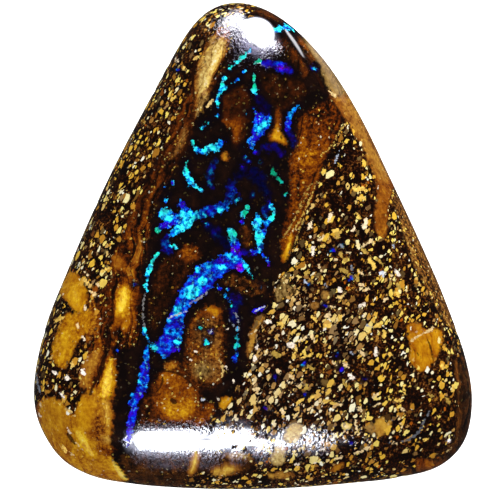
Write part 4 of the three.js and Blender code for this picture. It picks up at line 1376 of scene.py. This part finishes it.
def clay_specks(n, place, in_gravel, grains, ground):
    """Lays small specks over the clay and, fewer, over the dark ironstone."""
    specks = use_group(n, grains, {
        "Vector": n.shift(place, (4.0, 4.0, 1.0)), "Spacing": 0.17, "Share": 0.2, "Gap": 0.1,
    })
    mask = n.times(specks["Mask"], n.times(n.vertex("clay_speckle"), 0.8))
    mask = n.times(mask, n.math("SUBTRACT", 1.0, in_gravel))
    mask = n.times(mask, n.span(n.step(n.vertex("clay_depth"), -3.0, 2.0), 0.1, 1.0))
    return n.mix(mask, ground, specks["Color"])


def pale_lines(n, place, fine_edge):
    """Where the hairlines, the listed grains and the painted reflection on the west rim are, and their
    colour.
    """
    inside = n.step(n.times(fine_edge, 6.0, n.vertex("line_depth")), -0.4, 0.4)
    bright = n.math("POWER", n.vertex("line_bright"), 1.5)
    bright = n.times(bright, n.span(n.noise(place, 6.0, offset=(2, 7, 7)), 0.1, 1.7))
    colour = n.mix(n.vertex("line_warm"), photo_albedo(220, 230, 252), photo_albedo(255, 208, 96))
    return inside, n.dim(colour, bright)


def opal_fire(n, place, bent, bead):
    """The opal's colour: beads and patches of fire that flicker, with a few pale sparkles."""
    own_fire = n.vertex("opal_fire")
    own_glow = n.vertex("opal_glow")
    patch = n.math("SUBTRACT", n.parts(n.cells(bent, 2.5, feature="SMOOTH_F1", output="Color"))[0], 0.45)
    freedom = n.times(n.math("ABSOLUTE", n.math("SUBTRACT", own_fire, 2.2)), -0.45, 1.9)
    fire = n.times(patch, freedom, own_fire)
    fire = n.math("ADD", n.swing(place, 4.5, 3.0, 0.6, (6, 2, 8)), fire)
    flicker = n.span(n.noise(place, 3.3, 3.0, 0.6, (2, 2, 6)), -1.5, 3.1)
    flicker = n.times(flicker, n.span(bead, 0.7, 1.2))
    flicker = n.times(flicker, n.span(n.noise(place, 9.0, 1.0, offset=(8, 5, 2)), 0.85, 1.15))
    flicker = n.math("MINIMUM", n.math("MAXIMUM", flicker, 0.16), 1.3)
    fire = n.times(n.math("SUBTRACT", 1.0, flicker), n.times(freedom, 0.8), fire)
    lit = n.dim(fire_colours(n, fire), n.times(n.math("POWER", own_glow, 1.7), flicker))
    sparkle = n.step(n.noise(place, 5.2, 2.0, 0.6, (1, 1, 3)), 0.58, 0.7)
    sparkle = n.times(sparkle, n.step(own_glow, 0.7, 1.0))
    return n.mix(n.times(sparkle, 0.6), lit, photo_albedo(110, 255, 255, OPAL_LIGHT))


def polish(n, place, cloud, in_opal, polished):
    """The roughness: opal is the smoothest, pale clay is the dullest, and the ground back is matt."""
    dull = n.times(n.step(n.vertex("clay_tone"), 4.7, 5.3), n.step(n.vertex("clay_depth"), -0.5, 1.5))
    gloss = n.blend(dull, n.span(cloud, 0.02, 0.09), 0.5)
    pitted = n.vertex("pitted")
    matt = n.times(pitted, 0.04, n.noise(place, 6.0, 2.0, 0.6, (6, 3, 2)))
    matt = n.times(n.step(matt, 0.58, 0.66), n.step(pitted, 0.0, 0.5))
    gloss = n.blend(matt, gloss, 0.42)
    gloss = n.blend(in_opal, gloss, 0.05)
    return n.blend(polished, 0.55, gloss)


def fine_relief(n, place, relief, in_gravel, in_opal, polished):
    """The bumps: raised grains, small pits, the rough pitted places and the back's grinding scratches."""
    pits = n.step(n.noise(place, 3.4, offset=(4, 9, 9)), 0.66, 0.74)
    bumps = n.math("SUBTRACT", n.times(relief, in_gravel), n.times(n.times(pits, in_gravel), 0.6))
    pitting = n.times(n.noise(place, 5.0, offset=(3, 3, 8)), n.times(n.vertex("pitted"), 5.0))
    bumps = n.times(n.math("ADD", bumps, pitting), n.math("SUBTRACT", 1.0, in_opal))
    scratches = n.noise(n.stretch(place, (0.6, 9.0, 1.0)), 3.0)
    bumps = n.times(n.times(n.math("SUBTRACT", 1.0, polished), scratches), 1.2, bumps)
    return n.add("ShaderNodeBump", {"Strength": 0.25, "Distance": 0.02 * MM, "Height": bumps})


def stone_material():
    """Ironstone, clay and opal, told apart by the numbers on the vertices, finished by noise and cells."""
    material = bpy.data.materials.new("Polished boulder opal")
    material.use_nodes = True
    shader = material.node_tree.nodes["Principled BSDF"]
    n = Nodes(material.node_tree)
    grains = grain_group()
    place = n.stretch(n.add("ShaderNodeTexCoord", output="Object"), (1 / MM,) * 3)
    rough_edge = n.swing(place, 2.2, 3.0, 0.6)
    fine_edge = n.swing(place, 5.5, 2.0, 0.6, (9, 4, 2))
    cloud = n.noise(place, 0.9, 4.0, 0.6)

    # Dark ironstone under everything, then clay, and gravel with its grains.
    ground = n.ramp(cloud, [(0.0, 4, 2, 2), (0.45, 12, 4, 3), (0.62, 26, 10, 5), (0.8, 50, 23, 7)])
    clay_edge = n.times(rough_edge, ROUGH_PUSH, n.vertex("clay_depth"))
    clay_edge = n.times(fine_edge, FINE_PUSH, clay_edge)
    ground = n.mix(n.step(clay_edge, -2.2, 2.2), ground, iron_clay(n, place, streak_group()))
    in_gravel = n.step(n.times(rough_edge, ROUGH_PUSH, n.vertex("gravel_depth")), -2.0, 1.5)
    ground = n.mix(in_gravel, ground, dark_cement(n, place, cloud))
    ground, relief = gravel_grains(n, place, rough_edge, grains, ground)
    ground = clay_specks(n, place, in_gravel, grains, ground)
    crack = n.step(n.times(fine_edge, 1.6, n.vertex("crack_depth")), -0.7, 0.5)
    ground = n.mix(n.times(crack, 0.85), ground, photo_albedo(36, 12, 2))

    # Opal, with a dark border of potch. Its beads come from cells in a bent space.
    bent = n.grow(n.noise(place, 3.0, output="Color"), 0.3)
    bent = n.shift(n.shift(place, (0.3, 0.7, 0.1)), bent)
    bead = n.step(n.cells(bent, 2.5, feature="SMOOTH_F1"), 0.6, 0.12)
    opal_depth = n.times(rough_edge, 3.6, n.vertex("opal_depth"))
    opal_depth = n.times(fine_edge, 6.0, opal_depth)
    opal_depth = n.times(n.math("SUBTRACT", bead, 0.55), 2.4, opal_depth)
    border = n.step(opal_depth, -6.5, -1.0)
    ground = n.mix(n.times(border, 0.85), ground, photo_albedo(8, 2, 8))
    softness = n.blend(n.step(n.vertex("opal_glow"), 0.25, 0.75), 3.2, 0.6)
    in_opal = n.step(opal_depth, n.times(softness, -1.0), softness)
    colour = n.mix(in_opal, ground, opal_fire(n, place, bent, bead))
    in_line, line_colour = pale_lines(n, place, fine_edge)
    colour = n.mix(in_line, colour, line_colour)

    # The underside and the ground back are plain ironstone, unpolished.
    polished = n.step(n.height(place), 0.7, 1.9)
    back = n.ramp(cloud, [(0.3, 52, 30, 12), (0.5, 92, 54, 20), (0.7, 142, 92, 34)])
    back = n.mix(n.times(relief, 0.9), back, photo_albedo(190, 150, 90))

    n.feed(shader.inputs["Base Color"], n.mix(polished, back, colour))
    n.feed(shader.inputs["Roughness"], polish(n, place, cloud, in_opal, polished))
    n.feed(shader.inputs["Normal"], fine_relief(n, place, relief, in_gravel, in_opal, polished))
    shader.inputs["IOR"].default_value = 1.6
    return material


def plain_material(name, settings):
    """A material with some sockets the same all over. Gives back the material, its shader and its nodes."""
    material = bpy.data.materials.new(name)
    material.use_nodes = True
    shader = material.node_tree.nodes["Principled BSDF"]
    for socket, value in settings.items():
        shader.inputs[socket].default_value = value
    return material, shader, Nodes(material.node_tree)


def make_camera():
    """Straight down on the polished face, from far off, as in the photograph."""
    data = bpy.data.cameras.new("camera")
    data.lens = LENS_MM
    data.sensor_width = SENSOR_MM
    data.clip_start = 0.01
    data.clip_end = 5
    camera = bpy.data.objects.new("camera", data)
    camera.location = Vector((CAMERA_X, CAMERA_Y, CAMERA_HEIGHT)) * MM
    bpy.context.collection.objects.link(camera)
    bpy.context.scene.camera = camera


def make_floor():
    """A plain pale table that glows a little and can't be seen from below."""
    half, top = TABLE_HALF * MM, TABLE_LEVEL * MM
    corners = [(-half, -half, top), (half, -half, top), (half, half, top), (-half, half, top)]
    mesh = bpy.data.meshes.new("table")
    mesh.from_pydata(corners, [], [(0, 1, 2, 3)])
    material, shader, n = plain_material("Pale table", {
        "Base Color": (0.86, 0.86, 0.86, 1), "Roughness": 0.8, "Specular IOR Level": 0.1,
        "Emission Color": (1, 1, 1, 1), "Emission Strength": 0.8,
    })
    from_below = n.add("ShaderNodeNewGeometry", output="Backfacing")
    n.feed(shader.inputs["Alpha"], n.math("SUBTRACT", 1.0, from_below))
    mesh.materials.append(material)
    floor = bpy.data.objects.new("table", mesh)
    floor.visible_glossy = False
    bpy.context.collection.objects.link(floor)


def make_light(name, azimuth, from_zenith, width, height, radiance, colour=(1, 1, 1), shape="RECTANGLE"):
    """A soft light aimed at the stone. Azimuth is anticlockwise from +X; lengths are in millimetres."""
    data = bpy.data.lights.new(name, "AREA")
    data.shape = shape
    data.size = width * MM
    data.size_y = height * MM
    data.color = colour
    data.energy = radiance * pi * data.size * data.size_y * (1 if shape == "RECTANGLE" else pi / 4)
    lamp = bpy.data.objects.new(name, data)
    tilt, turn = radians(from_zenith), radians(azimuth)
    away = Vector((cos(turn) * sin(tilt), sin(turn) * sin(tilt), cos(tilt)))
    lamp.location = away * LIGHT_DISTANCE * MM
    lamp.rotation_mode = "QUATERNION"
    lamp.rotation_quaternion = away.to_track_quat("Z", "Y")
    lamp.visible_glossy = False
    bpy.context.collection.objects.link(lamp)


def make_lights():
    """Large lamps that light the stone without showing in its polish, and a dim sky."""
    make_light("front lamp", -98, 31, 62, 175, 34, shape="ELLIPSE")
    make_light("front fill", -96, 40, 90, 300, 2.6, (0.86, 0.88, 1.0), shape="ELLIPSE")
    make_light("back lamp", 71, 66, 165, 330, 17, shape="ELLIPSE")
    make_light("back fill", 84, 36, 150, 90, 2.2, (0.8, 0.9, 1.0))
    make_light("back left lamp", 104, 68, 110, 150, 5, (1.0, 0.97, 0.9))
    world = bpy.data.worlds.new("studio")
    world.use_nodes = True
    sky = world.node_tree.nodes["Background"]
    sky.inputs["Color"].default_value = (0.9, 0.95, 1.0, 1)
    sky.inputs["Strength"].default_value = 0.04
    bpy.context.scene.world = world


def mirrored_places(stone, corners, distance, neighbours=6):
    """Where a light has to be, in millimetres, to be mirrored at these pixels of the photograph."""
    count = (ROWS + 1) * (COLUMNS + 1)
    points = np.empty(len(stone.data.vertices) * 3, np.float32)
    normals = np.empty_like(points)
    stone.data.vertices.foreach_get("co", points)
    stone.data.vertex_normals.foreach_get("vector", normals)
    points = points.reshape(-1, 3)[:count] / MM
    normals = normals.reshape(-1, 3)[:count]
    px, py = onto_photo(*points.T)
    places = []
    for x, y in corners:
        gap = (px - x) ** 2 + (py - y) ** 2
        nearest = np.argpartition(gap, neighbours)[:neighbours]
        weight = 1 / (0.2 + gap[nearest])
        weight /= weight.sum()
        point = weight @ points[nearest]
        normal = weight @ normals[nearest]
        normal /= np.linalg.norm(normal)
        towards = np.array([CAMERA_X, CAMERA_Y, CAMERA_HEIGHT]) - point
        towards /= np.linalg.norm(towards)
        places.append(point + (2 * (normal @ towards) * normal - towards) * distance)
    return np.array(places)


def make_softbox(name, stone, distance, radiance, colour, soft_edge, outline):
    """A glowing panel with a fading edge, shaped so that the stone mirrors it as the photograph's outline."""
    corners = rounded(outline, closed=True)
    middle = corners.mean(axis=0)
    along = np.roll(corners, -1, axis=0) - np.roll(corners, 1, axis=0)
    outwards = np.column_stack([along[:, 1], -along[:, 0]]) / np.hypot(*along.T)[:, None]
    if ((corners - middle) * outwards).sum() < 0:
        outwards = -outwards
    rings = [(middle + (corners - middle) * share, 1.0) for share in (0.05, 0.35, 0.7)]
    for share in (0, 0.25, 0.5, 0.75, 1):
        rings.append((corners + outwards * soft_edge * (share - 0.4), (1 - share) ** 2))
    places = mirrored_places(stone, np.vstack([ring for ring, _ in rings]), distance)
    count = len(corners)
    faces = [list(range(count))]
    for low in range(0, count * (len(rings) - 1), count):
        for i in range(count):
            j = (i + 1) % count
            faces.append([low + i, low + j, low + count + j, low + count + i])
    mesh = bpy.data.meshes.new(name)
    mesh.from_pydata(places * MM, [], faces)
    give_attribute(mesh, "brightness", np.repeat([level for _, level in rings], count))
    material, shader, n = plain_material(name, {
        "Base Color": (0, 0, 0, 1), "Specular IOR Level": 0, "Emission Color": (*colour, 1),
    })
    material.cycles.emission_sampling = "NONE"
    n.feed(shader.inputs["Emission Strength"], n.times(n.vertex("brightness"), radiance))
    mesh.materials.append(material)
    panel = bpy.data.objects.new(name, mesh)
    panel.visible_camera = False
    panel.visible_diffuse = False
    panel.visible_shadow = False
    bpy.context.collection.objects.link(panel)


make_camera()
make_floor()
make_lights()
stone = make_stone(stone_material())
for order, (name, look) in enumerate(MIRROR_IMAGES.items()):
    make_softbox(name, stone, LIGHT_DISTANCE + order * PANEL_GAP, *look)
bpy.context.scene.view_settings.view_transform = "Standard"
